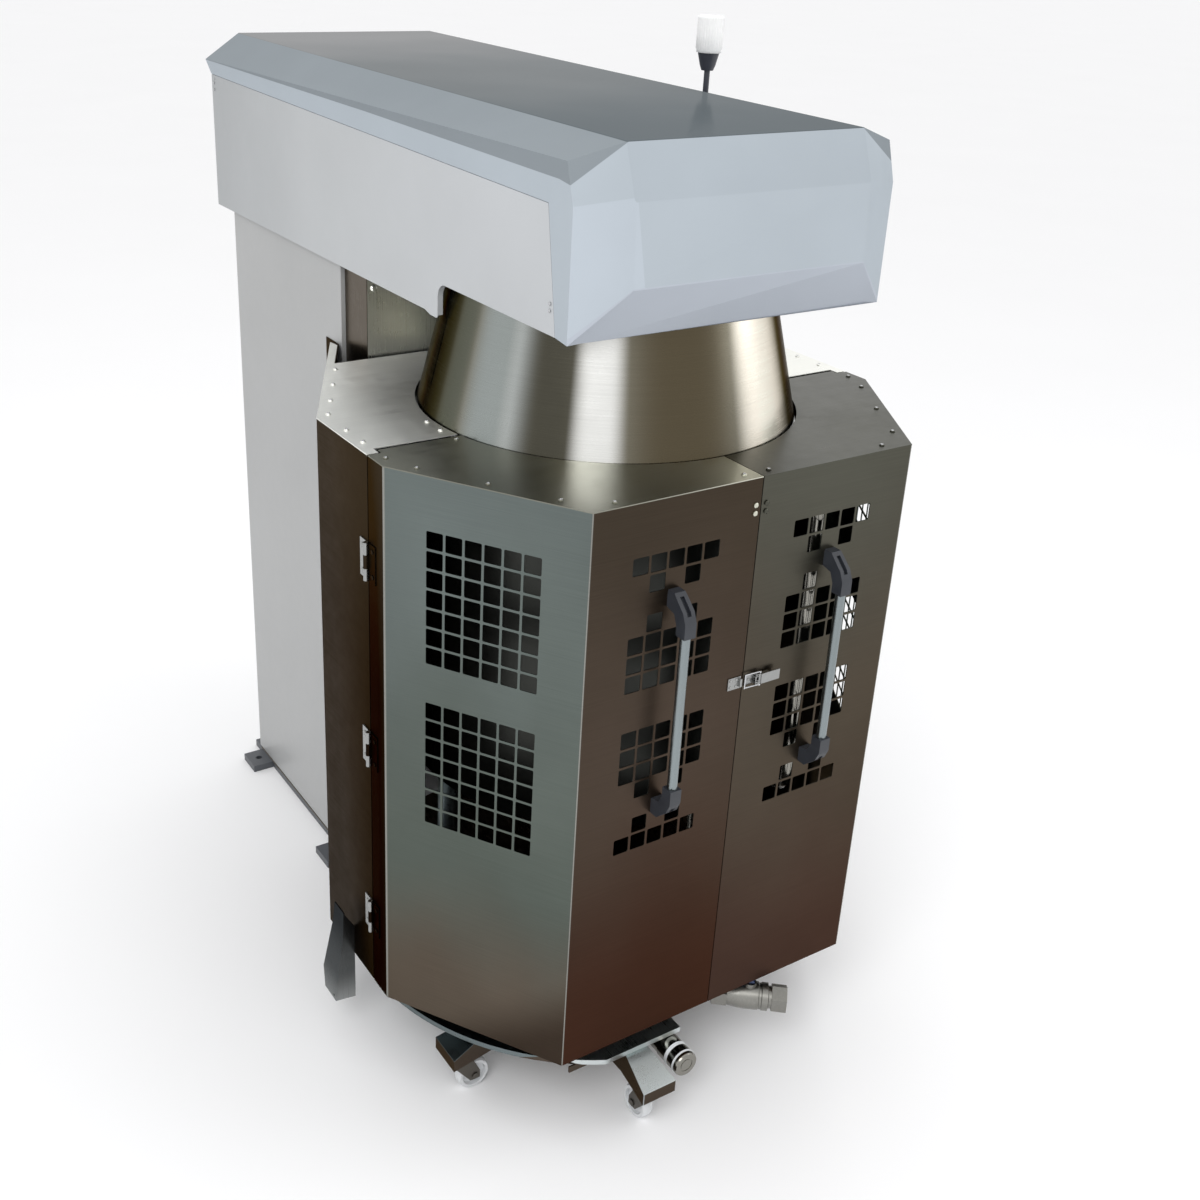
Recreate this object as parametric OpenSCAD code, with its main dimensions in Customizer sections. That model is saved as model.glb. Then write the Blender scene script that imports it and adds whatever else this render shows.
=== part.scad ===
// Planetary mixer with a lifting head, a jacketed bowl on a castor trolley and a guard cabinet with two doors.
// Millimetres, +Z up. The origin lies on the floor under the planetary axis; the doors face -Y.

/* [Cabinet] */
// Height of the cabinet's lower edge above the floor
cab_bottom = 235; // [215:5:300]
// Cabinet walls height
cab_h = 1230; // [1180:10:1300]
// Half of the cabinet's greatest width
cab_half_w = 598; // [585:1:640]
// Reach of the front panels
cab_front = 515; // [508:1:540]
// Half width of the two front panels together
front_half_w = 378; // [350:1:400]
// Reach of the front side corners
side_corner_front = 158; // [150:1:190]
// Setback of the rear side corners
side_corner_rear = 135; // [110:1:180]
// Distance of the cabinet walls' rear ends outside the column
wall_end_gap = 15; // [10:1:26]
// Setback of the rear ends of the cabinet walls
wall_end_y = 607; // [595:1:640]
// Cabinet sheet thickness
sheet_t = 2; // [1.5:0.5:3]
// Folded lips width
lip_w = 20; // [14:1:24]
// Radius of the opening round the cone
opening_r = 400; // [399:1:410]
// Distance ahead of the axis of the slot that parts the top plates
slot_y = 74; // [60:1:80]
// Width of that slot
slot_w = 10; // [6:1:12]
// Distance ahead of the axis of the hinge seams
seam_y = 94; // [92:1:100]
// Door seams width
seam_w = 4; // [3:0.5:5]
// Clearance between the rear top plate and the mast cover
notch_gap = 12; // [8:1:16]

/* [Vents] */
// Side of a square vent hole
vent_hole = 35; // [28:1:36]
// Vent holes spacing
vent_pitch = 40; // [39:0.5:41]
// Corner radius of a vent hole
vent_corner = 3; // [2:0.5:6]
// Drop from the cabinet's top to the first row of holes
vent_drop = 107; // [95:1:130]
// Distance of the front vent field's centre from the seam
vent_x = 188; // [170:1:200]

/* [Brackets] */
// Setback of the side bracket
bracket_y = 3; // [0:1:20]
// Height of the bracket's foot above the floor
bracket_foot = 112; // [105:1:150]
// Reach of the bracket's foot beyond the cabinet wall
bracket_reach = 49; // [40:1:60]
// Reach of the bracket's upper end beyond the cabinet wall
bracket_top_reach = 26; // [20:1:34]
// Rise of the bracket above the cabinet's lower edge
bracket_rise = 120; // [100:1:140]
// Depth of the bracket's outer flange
bracket_depth = 77; // [60:1:90]
// Bracket sheet thickness
bracket_t = 3; // [2:0.5:4]

/* [Column] */
// Column half width
column_half_w = 340; // [330:1:344]
// Setback of the column's front
column_front = 576; // [572:1:590]
// Column depth
column_depth = 655; // [600:5:700]
// Column shell height
column_h = 1995; // [1970:5:2000]
// Column wall thickness
column_wall = 4; // [3:0.5:6]
// Distance of the guide rails inside the column's sides
rail_inset = 120; // [100:5:160]
// Guide rail width
rail_w = 35; // [30:1:40]
// Height of a guide rail's section
rail_d = 30; // [26:1:32]
// Setback of the lift cylinder
ram_y = 760; // [740:5:800]
// Radius of the lift cylinder's barrel
barrel_r = 50; // [46:1:56]
// Lift rod radius
rod_r = 25; // [20:1:28]
// Piston radius
piston_r = 40; // [36:1:42]
// Stroke of the head
lift_stroke = 740; // [650:10:740]

/* [Base] */
// Base plate thickness
base_t = 20; // [16:1:24]
// Docking tongue half width
tongue_half_w = 95; // [80:1:95]
// Reach of the docking tongue ahead of the axis
tongue_reach = 60; // [50:1:100]
// Docking pin radius
dock_pin_r = 20; // [16:1:24]
// Anchor lug width
lug_w = 60; // [50:1:70]
// Anchor lug length
lug_l = 80; // [60:1:100]
// Anchor hole radius
anchor_r = 9; // [7:0.5:11]
// Spacing of the anchor holes along the machine
anchor_pitch_y = 530; // [450:5:540]

/* [Vessel] */
// Inside radius of the bowl
bowl_r = 372; // [371:0.5:373]
// Bowl wall thickness
bowl_wall = 3; // [2:0.5:4]
// Drop from the cabinet's top to the bowl's rim
rim_drop = 13; // [12:1:20]
// Inside height of the bowl's floor above the ground
bowl_floor = 700; // [690:1:706]
// Radius of the bowl's lower corner
bowl_corner_r = 60; // [40:1:70]
// Outside radius of the rim flange
rim_r = 398; // [397:0.5:399]
// Rim flange thickness
rim_t = 8; // [6:1:10]
// Rim gasket height
gasket_t = 6; // [4:0.5:6]
// Outside radius of the jacket
jacket_r = 413; // [405:1:425]
// Height of the jacket's underside above the ground
jacket_bottom = 665; // [650:1:670]
// Height of the jacket's top above the ground
jacket_top = 1390; // [1380:1:1410]
// Jacket sheet thickness
jacket_t = 3; // [2:0.5:4]

/* [Pipes] */
// Outside radius of the jacket's feed pipe
feed_r = 15; // [12:0.5:17]
// Distance of the feed pipe to the right of the axis
feed_x = 190; // [170:1:200]
// Reach of the feed pipe
feed_reach = 472; // [465:1:480]
// Height of the feed pipe's upper branch
feed_top = 1355; // [1330:1:1360]
// Height of the feed pipe's lower branch
feed_low = 705; // [700:1:740]
// Outside radius of the discharge pipe
outlet_r = 27; // [24:0.5:27.5]
// Distance of the discharge pipe to the left of the axis
outlet_x = 84; // [80:1:88]
// Reach of the discharge pipe's drop
outlet_drop_y = 150; // [140:1:200]
// Reach of the discharge cap's face
outlet_end = 562; // [556:1:580]
// Height of the discharge pipe's axis
outlet_z = 134; // [133.5:0.5:135]
// Pipe walls thickness
pipe_t = 2; // [1.5:0.5:3]
// Radius of the ball valve's body
valve_r = 31; // [28:1:34]
// Width across the flats of the valve's hexagons
valve_flats = 55; // [50:1:58]
// Height of the valve's axis
valve_z = 175; // [172:1:178]
// Valve body length
valve_l = 167; // [150:1:175]
// Valve lever length
valve_lever_l = 110; // [90:1:115]

/* [Trolley] */
// Reach of the trolley plate's straight front
trolley_front = 500; // [490:1:510]
// Distance of the trolley's round plate inside the cabinet's sides
trolley_inset = 38; // [33:1:58]
// Thickness of that plate
trolley_t = 12; // [8:1:14]
// Height of the plate's underside
trolley_z = 165; // [164:1:170]
// Half spacing of the vessel's legs
leg_x = 235; // [220:1:245]
// Leg radius
leg_r = 25; // [20:1:30]
// Distance of the front castor arm to the left of the axis
front_arm_x = 169; // [165:1:175]
// Reach of the front castor arm
front_arm_reach = 582; // [575:1:600]
// Distance of the side castor arms' ends inside the plate
side_arm_inset = 50; // [40:1:60]
// Place of the side castor arms ahead of the axis
side_arm_y = 260; // [250:1:280]
// Reach of the rear castor arm
rear_arm_reach = 470; // [440:1:475]
// Half width of an arm's outer end
arm_half_out = 42; // [37:1:45]
// Half width of an arm's inner end
arm_half_in = 26; // [22:1:30]
// Arm sheet thickness
arm_t = 4; // [3:0.5:5]
// Length of an arm's sloping roof
arm_slope_l = 103; // [90:1:120]

/* [Castors] */
// Castor height
castor_h = 100; // [96:1:104]
// Castor wheel radius
wheel_r = 37.5; // [30:0.5:38]
// Castor wheel width
wheel_w = 26; // [20:1:28]
// Castor wheel trail
castor_trail = 30; // [24:1:34]
// Radius of a castor's axle
axle_r = 5; // [4:0.5:6]
// Radius of a castor's kingpin
kingpin_r = 6; // [5:0.5:8]
// Fork sheet thickness
fork_t = 3; // [2:0.5:4]

/* [Hood] */
// Rise of the top face's front edge above the cabinet
hood_top_front_h = 593; // [590:1:600]
// Rise of the top face's rear edge above the cabinet
hood_top_rear_h = 618; // [615:1:650]
// Rise of the crease over the side at the front
crease_front_h = 562; // [555:1:575]
// Rise of the crease over the side at the rear
crease_rear_h = 556; // [550:1:575]
// Rise of the edge between the forehead and the face
brow_h = 503; // [495:1:520]
// Rise of the edge between the face and the undercut
nose_h = 353; // [330:1:380]
// Cheek corner rise
cheek_h = 488; // [480:1:495]
// Rise of the hood's lower front edge
chin_h = 256; // [250:1:260]
// Reach of the top face's front edge
top_front_y = 392; // [385:1:400]
// Reach of the brow
brow_y = 426; // [415:1:430]
// Reach of the nose
nose_y = 434; // [432:1:445]
// Reach of the chin
chin_y = 382; // [378:1:390]
// Reach of the jaw corners
jaw_y = 387; // [384:1:395]
// Reach of the crease's front end
crease_y = 364; // [355:1:370]
// Distance of the side panels outside the column
panel_off = 12; // [11:0.5:16]
// Distance of the top and front faces' edges inside the side panels
face_inset = 89; // [80:1:97]
// Distance of the chin's ends inside the side panels
chin_inset = 23; // [17:1:37]
// Stand-out of the cheeks beyond the side panels
cheek_out = 10; // [8:1:14]
// Stand-out of the rear crease beyond the side panels
crease_out = 14; // [11:1:18]
// Setback of the hood's rear
hood_rear = 1312; // [1300:1:1330]
// Hood thickness
hood_t = 3; // [2:0.5:4]
// Rise of the side panels' rear top corner
panel_rear_h = 519; // [510:1:525]
// Rise of the side panels' front top corner
panel_front_h = 481; // [475:1:485]
// Rise of the side panels' lower edge
panel_low_h = 190; // [186:1:200]
// Setback of the hook's front edge
hook_y = 93; // [85:1:110]

/* [Head] */
// Thickness of the head's floor plate
floor_t = 8; // [6:1:10]
// Distance of the head's side plates inside the mast cover
frame_inset = 26; // [20:1:34]
// Height of the head's side plates
frame_h = 200; // [190:1:210]
// Carriage plate thickness
carriage_t = 20; // [16:1:24]
// Setback of the carriage plate's front
carriage_y = 508; // [500:1:510]
// Drop of the carriage below the cabinet's top
carriage_drop = 615; // [600:5:640]
// Guide block length
block_l = 120; // [100:5:130]
// Distance of the mast cover's sides inside the column's
mast_inset = 10; // [6:1:18]
// Setback of the mast cover's front
mast_front = 462; // [456:1:470]
// Radius of the cone at its lower edge
cone_low_r = 396; // [395:0.5:397]
// Radius of the cone at its top
cone_top_r = 330; // [328:1:345]
// Cone sheet thickness
cone_t = 2.5; // [2:0.5:4]
// Rise of the cone's top above the cabinet
cone_rise = 262; // [258:1:264]
// Setback of the motor
motor_y = 330; // [320:1:335]
// Motor radius
motor_r = 95; // [85:1:98]

/* [Mixing gear] */
// Distance of a tool shaft from the axis
tool_offset = 168; // [166:1:170]
// Radius swept by a beater
beater_r = 156; // [140:1:158]
// Beater height
beater_h = 660; // [600:5:665]
// Clearance of a beater over the bowl's floor
beater_gap = 20; // [16:1:26]
// Beater bar width
bar_w = 24; // [18:1:28]
// Beater bar thickness
bar_t = 12; // [8:1:16]
// Tool shaft radius
tool_shaft_r = 20; // [16:1:22]
// Planet carrier radius
carrier_r = 285; // [280:1:290]
// Planet carrier height
carrier_h = 140; // [130:1:142]
// Main shaft radius
main_shaft_r = 30; // [26:1:32]
// Radius of the big belt pulley
big_pulley_r = 130; // [120:1:135]
// Motor pulley radius
small_pulley_r = 55; // [45:1:60]
// Drive belt width
belt_w = 30; // [24:1:34]

/* [Door furniture] */
// Distance of a handle from the seam
handle_x = 190; // [175:1:200]
// Spacing of a handle's feet
handle_pitch = 450; // [400:5:480]
// Drop from the cabinet's top to the upper foot
handle_drop = 201; // [190:1:215]
// Handle tube radius
handle_r = 10; // [9:0.5:11]
// Stand-off of the handle tube's axis
handle_off = 45; // [42:1:52]
// Hinge pin radius
hinge_pin_r = 3; // [2.5:0.25:3]
// Hinge knuckle radius
knuckle_r = 5; // [5:0.25:5.5]
// Hinge height
hinge_h = 80; // [70:1:90]
// Hinge leaf width
leaf_w = 32; // [26:1:36]
// Drop from the cabinet's top to the first hinge
hinge_drop = 216; // [200:1:230]
// Hinges spacing
hinge_pitch = 420; // [400:5:440]
// Drop from the cabinet's top to the latch
latch_drop = 429; // [420:1:440]
// Latch half height
latch_half = 11; // [10:0.5:12]
// Latch lever length
latch_lever_l = 57; // [50:1:60]
// Button-head screw radius
screw_r = 5.25; // [4:0.25:6]
// Button head height
screw_h = 3; // [2:0.25:4]

/* [Signal lamp] */
// Distance of the lamp to the right of the axis
lamp_x = 320; // [310:1:330]
// Setback of the lamp
lamp_y = 145; // [100:1:200]
// Lens radius
lens_r = 28; // [24:1:30]
// Lens height
lens_h = 74; // [60:1:80]
// Rise of the lamp's cup above the cabinet
cup_rise = 635; // [625:5:660]

/* [Hidden] */
$fn = 64;

// Overrun of every cut
cut = 1;
// Gap between parts of different bodies that face each other
gap = 0.3;
// Radial clearance of a running fit
fit = 0.05;

cab_top = cab_bottom + cab_h;
plate_z = cab_top - sheet_t;
rear_notch_y = mast_front - notch_gap;
plate_edge_y = slot_y + slot_w / 2;
wall_edge_y = slot_y - slot_w / 2;
seam_half = seam_w / 2;
dogleg_x = cab_half_w - lip_w - seam_w * 2;
screw_inset = 22;
head_z = cab_top + cone_rise;
wall_end_half = column_half_w + wall_end_gap;
panel_half_w = column_half_w + panel_off;
face_half_w = panel_half_w - face_inset;
chin_half_w = panel_half_w - chin_inset;
cheek_half_w = panel_half_w + cheek_out;
crease_half_w = panel_half_w + crease_out;
mast_half_w = column_half_w - mast_inset;
frame_half_w = mast_half_w - frame_inset;
rail_x = column_half_w - rail_inset;
trolley_r = cab_half_w - trolley_inset;
side_arm_reach = trolley_r - side_arm_inset;
// How far the notch round the mast cover flares beyond it
notch_flare = 86;

function unit(v) = v / norm(v);
function left_of(a, b) = let (d = unit(b - a)) [-d[1], d[0]];
function mitred(path, i, t) = let (
  last = len(path) - 1,
  before = left_of(path[max(i - 1, 0)], path[max(i, 1)]),
  after = left_of(path[min(i, last - 1)], path[min(i + 1, last)])
) path[i] + (before + after) * t / (1 + before * after);
function strip(path, t) = concat(path, [for (i = [len(path) - 1:-1:0]) mitred(path, i, t)]);
function arc(centre, r, a0, a1, steps) =
  [for (i = [0:steps]) let (a = a0 + (a1 - a0) * i / steps) centre + r * [cos(a), sin(a)]];

module slab(x, y, z) {
  translate([x[0], y[0], z[0]]) cube([x[1] - x[0], y[1] - y[0], z[1] - z[0]]);
}
module prism(points, z0, z1) {
  translate([0, 0, z0]) linear_extrude(z1 - z0) polygon(points);
}
// An outline drawn in Y and Z, given its thickness along X
module side_profile(points, x0, x1) {
  translate([x0, 0, 0]) rotate([90, 0, 90]) linear_extrude(x1 - x0) polygon(points);
}
// An outline drawn in X and Z, given its thickness along Y
module front_profile(points, y0, y1) {
  translate([0, y1, 0]) rotate([90, 0, 0]) linear_extrude(y1 - y0) polygon(points);
}
module ring(r_out, r_in, z0, z1) {
  translate([0, 0, z0]) difference() {
    cylinder(h = z1 - z0, r = r_out);
    translate([0, 0, -cut]) cylinder(h = z1 - z0 + 2 * cut, r = r_in);
  }
}
module both_sides() {
  children();
  mirror([1, 0, 0]) children();
}
// A button-head screw on the plane z = 0, seated a little into its sheet
module screw_head() {
  translate([0, 0, -screw_h / 4]) cylinder(h = screw_h * 0.75, r = screw_r);
  translate([0, 0, screw_h / 2]) cylinder(h = screw_h / 2, r1 = screw_r, r2 = screw_r * 0.62);
}

// Cabinet outlines, right half
rear_wall_path = [
  [cab_half_w - lip_w * 0.75, -seam_y + seam_half], [cab_half_w, -seam_y + seam_half],
  [cab_half_w, side_corner_rear], [wall_end_half, wall_end_y],
  [column_half_w + sheet_t + gap, wall_end_y], [column_half_w + sheet_t + gap, wall_end_y + lip_w * 2.6]
];
door_face_path = [
  [seam_half / 2, -cab_front], [front_half_w, -cab_front],
  [cab_half_w, -side_corner_front], [cab_half_w, -seam_y - seam_half]
];
door_path = concat(
  [[seam_half / 2, -cab_front + lip_w * 0.75]], door_face_path,
  [[cab_half_w - lip_w * 0.75, -seam_y - seam_half]]
);
diagonal = [cab_half_w - front_half_w, cab_front - side_corner_front];
diagonal_l = norm(diagonal);
diagonal_a = atan2(diagonal[1], diagonal[0]);

// Columns of holes in each row of the front vents, from the top
vent_full = [-2, -1, 0, 1, 2];
vent_pair = [-1, 1];
vent_rows = [
  vent_full, vent_pair, [], vent_pair, vent_full, vent_full, vent_full, [],
  [], vent_full, vent_full, vent_full, vent_pair, [], vent_pair, vent_full
];
grille_columns = [-2.5, -1.5, -0.5, 0.5, 1.5, 2.5];
grille_rows = concat([0:6], [9:15]);

module vent(column, row) {
  half = vent_hole / 2;
  inner = half - vent_corner;
  translate([column * vent_pitch, cab_top - vent_drop - half - row * vent_pitch]) {
    square([vent_hole, inner * 2], center = true);
    square([inner * 2, vent_hole], center = true);
    for (x = [-inner, inner], y = [-inner, inner])
      translate([x, y]) circle(r = vent_corner, $fn = 16);
  }
}
module front_vents() {
  translate([vent_x, -cab_front + sheet_t + cut, 0]) rotate([90, 0, 0]) linear_extrude(sheet_t + 2 * cut)
    for (row = [0:len(vent_rows) - 1], column = vent_rows[row]) vent(column, row);
}
module diagonal_vents() {
  translate([front_half_w, -cab_front, 0]) rotate([0, 0, diagonal_a])
    translate([diagonal_l / 2, sheet_t + cut, 0]) rotate([90, 0, 0]) linear_extrude(sheet_t + 2 * cut)
      for (half = grille_rows, row = half, column = grille_columns) vent(column, row);
}

module base_plate() {
  lug_x = column_half_w + lug_w / 2;
  mid_y = column_front + column_depth / 2;
  foot_margin = 36;
  color("dimgray") difference() {
    union() {
      slab([-column_half_w, column_half_w],
        [column_front - foot_margin, column_front + column_depth + foot_margin], [0, base_t]);
      slab([-tongue_half_w, tongue_half_w], [-tongue_reach, column_front], [0, base_t]);
      for (x = [-1, 1], y = [-1, 1])
        translate([x * lug_x, mid_y + y * anchor_pitch_y / 2, base_t / 2])
          cube([lug_w + 2 * cut, lug_l, base_t], center = true);
      translate([0, 0, base_t - cut]) cylinder(h = trolley_z + trolley_t - base_t, r = dock_pin_r);
    }
    for (x = [-1, 1], y = [-1, 1])
      translate([x * lug_x, mid_y + y * anchor_pitch_y / 2, -cut])
        cylinder(h = base_t + 2 * cut, r = anchor_r);
  }
}

module column_shell() {
  column_top = base_t + column_h;
  color("gainsboro") difference() {
    slab([-column_half_w, column_half_w], [column_front, column_front + column_depth], [base_t, column_top]);
    slab([-column_half_w + column_wall, column_half_w - column_wall],
      [column_front + column_wall, column_front + column_depth - column_wall],
      [base_t - cut, column_top - column_wall]);
    translate([0, ram_y, base_t]) cylinder(h = column_h + cut, r = barrel_r + rod_r / 2);
  }
}

rail_bottom = cab_top - carriage_drop - lip_w;
rail_top = cab_top - carriage_drop + lift_stroke + block_l * 3.5;
module guide_rails() {
  color("silver") both_sides() difference() {
    slab([rail_x - rail_w / 2, rail_x + rail_w / 2], [column_front - rail_d, column_front],
      [rail_bottom, rail_top]);
    for (side = [-1, 1])
      translate([rail_x + side * rail_w / 2, column_front - rail_d / 2, rail_bottom - cut])
        cylinder(h = rail_top - rail_bottom + 2 * cut, r = rail_d / 6);
  }
}

barrel_top = base_t + column_h - column_wall * 6;
barrel_l = lift_stroke * 1.28;
stand_half = barrel_r * 1.4;
module lift_cylinder() {
  wall = barrel_r - piston_r - fit;
  color("slategray") translate([0, ram_y, 0]) {
    difference() {
      slab([-stand_half, stand_half], [-stand_half, stand_half], [base_t, barrel_top - barrel_l]);
      slab([-stand_half + wall, stand_half - wall], [-stand_half + wall, stand_half - wall],
        [base_t - cut, barrel_top - barrel_l - wall]);
    }
    difference() {
      translate([0, 0, barrel_top - barrel_l]) cylinder(h = barrel_l, r = barrel_r);
      translate([0, 0, barrel_top - barrel_l + wall])
        cylinder(h = barrel_l - wall * 5, r = piston_r + fit);
      translate([0, 0, barrel_top - wall * 5]) cylinder(h = wall * 6, r = rod_r + fit);
    }
  }
}

module cabinet_rear_walls() {
  color("darkgray") both_sides() {
    prism(strip(rear_wall_path, sheet_t), cab_bottom, plate_z);
    face = [for (i = [1:3]) rear_wall_path[i]];
    difference() {
      for (z = [cab_bottom, plate_z - sheet_t]) prism(strip(face, lip_w), z, z + sheet_t);
      slab([0, column_half_w + gap], [column_front - cut, column_front + column_depth],
        [cab_bottom - cut, plate_z + cut]);
    }
  }
}

// Places of the screws along a top plate's edge, set in from the outline by screw_inset
function edge_screws(a, b, shares) =
  [for (share = shares) a + (b - a) * share + left_of(a, b) * screw_inset];
rear_screws = concat(
  edge_screws([cab_half_w, -seam_y], [cab_half_w, side_corner_rear], [0.28, 0.6]),
  edge_screws([cab_half_w, side_corner_rear], [wall_end_half, wall_end_y], [0.04, 0.2, 0.4, 0.6]),
  [[opening_r + screw_r * 2.5, -slot_y / 2], [opening_r + screw_r * 2.5, slot_y / 4]]
);
module cabinet_rear_top() {
  color("silver") difference() {
    both_sides() prism([
      [-cut, -wall_edge_y], [dogleg_x + seam_w, -wall_edge_y],
      [dogleg_x + seam_w, -seam_y + seam_half], [cab_half_w, -seam_y + seam_half],
      [cab_half_w, side_corner_rear], [wall_end_half, wall_end_y],
      [wall_end_half - sheet_t * 2, wall_end_y - lip_w * 1.5],
      [mast_half_w + notch_flare, rear_notch_y], [-cut, rear_notch_y]
    ], plate_z, cab_top);
    translate([0, 0, plate_z - cut]) cylinder(h = sheet_t + 2 * cut, r = opening_r);
  }
  color("gray") both_sides() for (p = rear_screws) translate([p[0], p[1], cab_top]) screw_head();
}

module side_brackets() {
  top_z = cab_bottom + bracket_rise;
  knee_z = cab_bottom + bracket_rise * 0.53;
  outer = [
    [cab_half_w + bracket_reach, bracket_foot + bracket_t * 2],
    [cab_half_w + bracket_top_reach + bracket_t / 2, knee_z], [cab_half_w + bracket_top_reach, top_z]
  ];
  gusset = concat([[cab_half_w, bracket_foot]], outer, [[cab_half_w, knee_z + bracket_t * 4]]);
  flange = [
    [bracket_y, bracket_foot], [bracket_y + bracket_depth * 0.73, bracket_foot],
    [bracket_y + bracket_depth, bracket_foot + bracket_depth * 0.65],
    [bracket_y + bracket_depth * 0.6, top_z], [bracket_y, top_z]
  ];
  color("slategray") both_sides() difference() {
    union() {
      front_profile(gusset, bracket_y, bracket_y + bracket_t);
      intersection() {
        front_profile(strip(outer, bracket_t), bracket_y, bracket_y + bracket_depth);
        side_profile(flange, cab_half_w, cab_half_w + bracket_reach + cut);
      }
    }
    translate([cab_half_w, bracket_y + bracket_t * 4, bracket_foot + bracket_t * 5])
      rotate([0, 90, 0]) cylinder(h = bracket_reach + cut, r = bracket_t);
  }
}

// Hinges: three to a side, the middle knuckle on the door
hinge_x = cab_half_w + knuckle_r + cut;
hinge_t = 2.5;
hinge_zs = [for (i = [0:2]) cab_top - hinge_drop - i * hinge_pitch];
knuckle_share = 0.36;
// One leaf: side is 1 behind the seam and -1 ahead of it, bands are the knuckles' lower and upper ends
module hinge_leaf(side, bands) {
  edge = knuckle_r + hinge_t / 2;
  y0 = min(side * edge, side * leaf_w);
  y1 = max(side * edge, side * leaf_w);
  difference() {
    union() {
      slab([cab_half_w - (side < 0 ? sheet_t / 2 : 0), cab_half_w + hinge_t], [y0 - seam_y, y1 - seam_y],
        [-hinge_h / 2, hinge_h / 2]);
      for (band = bands) {
        slab([cab_half_w, hinge_x], [min(0, side * edge) - seam_y, max(0, side * edge) - seam_y], band);
        translate([hinge_x, -seam_y, band[0]]) cylinder(h = band[1] - band[0], r = knuckle_r, $fn = 32);
      }
    }
    translate([hinge_x, -seam_y, -hinge_h])
      cylinder(h = 2 * hinge_h, r = hinge_pin_r + (side < 0 ? fit : 0), $fn = 32);
  }
  for (z = [-hinge_h, hinge_h] / 3)
    translate([cab_half_w + hinge_t, side * leaf_w * 0.65 - seam_y, z]) rotate([0, 90, 0]) screw_head();
}
module hinge_fixed_leaves() {
  split = hinge_h * knuckle_share / 2;
  color("silver") both_sides() for (z = hinge_zs) translate([0, 0, z])
    hinge_leaf(1, [[-hinge_h / 2, -split], [split, hinge_h / 2]]);
}
module door_leaves() {
  split = hinge_h * knuckle_share / 2 - gap;
  color("silver") for (z = hinge_zs) translate([0, 0, z]) hinge_leaf(-1, [[-split, split]]);
}
module hinge_pins() {
  color("white") both_sides() for (z = hinge_zs)
    translate([hinge_x, -seam_y, z - hinge_h / 2]) cylinder(h = hinge_h, r = hinge_pin_r, $fn = 32);
}

// Trolley
arm_drop = 35;
arm_roof = trolley_z - arm_drop;
castor_seat = castor_h + arm_t;
castor_inset = arm_half_out - arm_t;
// One folded castor arm along +X, with its outer end at reach and its inner end under the plate
module castor_arm(reach, length) {
  inner = reach - length;
  half_in = arm_half_in;
  plan = [[inner, -half_in], [reach - arm_slope_l, -half_in], [reach, -arm_half_out],
      [reach, arm_half_out], [reach - arm_slope_l, half_in], [inner, half_in]];
  hollow = [[inner - cut, -half_in + arm_t], [reach - arm_slope_l, -half_in + arm_t],
       [reach - arm_t, -arm_half_out + arm_t], [reach - arm_t, arm_half_out - arm_t],
       [reach - arm_slope_l, half_in - arm_t], [inner - cut, half_in - arm_t]];
  roof = [[inner, castor_h], [reach, castor_h], [reach, arm_roof], [reach - arm_slope_l, trolley_z],
      [inner, trolley_z]];
  under = [[inner - cut, castor_h - cut], [reach, castor_h - cut], [reach, arm_roof - arm_t],
      [reach - arm_slope_l, trolley_z - arm_t], [inner - cut, trolley_z - arm_t]];
  difference() {
    intersection() {
      prism(plan, castor_h, trolley_z);
      front_profile(roof, -arm_half_out, arm_half_out);
    }
    difference() {
      intersection() {
        prism(hollow, castor_h - cut, trolley_z);
        front_profile(under, -arm_half_out, arm_half_out);
      }
      slab([reach - arm_slope_l, reach], [-arm_half_out, arm_half_out], [castor_h - cut, castor_seat]);
    }
    translate([reach - castor_inset, 0, castor_h - cut])
      cylinder(h = arm_t + 2 * cut, r = kingpin_r + fit, $fn = 32);
  }
}
// Each arm's start on the trolley, direction, reach and length
arm_l = 240;
castor_arms = [
  [[-front_arm_x, 0], -90, front_arm_reach, arm_l], [[0, -side_arm_y], 180, side_arm_reach, arm_l],
  [[0, -side_arm_y], 0, side_arm_reach, arm_l], [[front_arm_x, 0], 90, rear_arm_reach, arm_l]
];
module at_arm(i) {
  translate([castor_arms[i][0][0], castor_arms[i][0][1], 0]) rotate([0, 0, castor_arms[i][1]]) children();
}
apron_y = 468;
notch_left = outlet_x - outlet_r;
notch_right = 340;
drain_back = 75;
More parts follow.
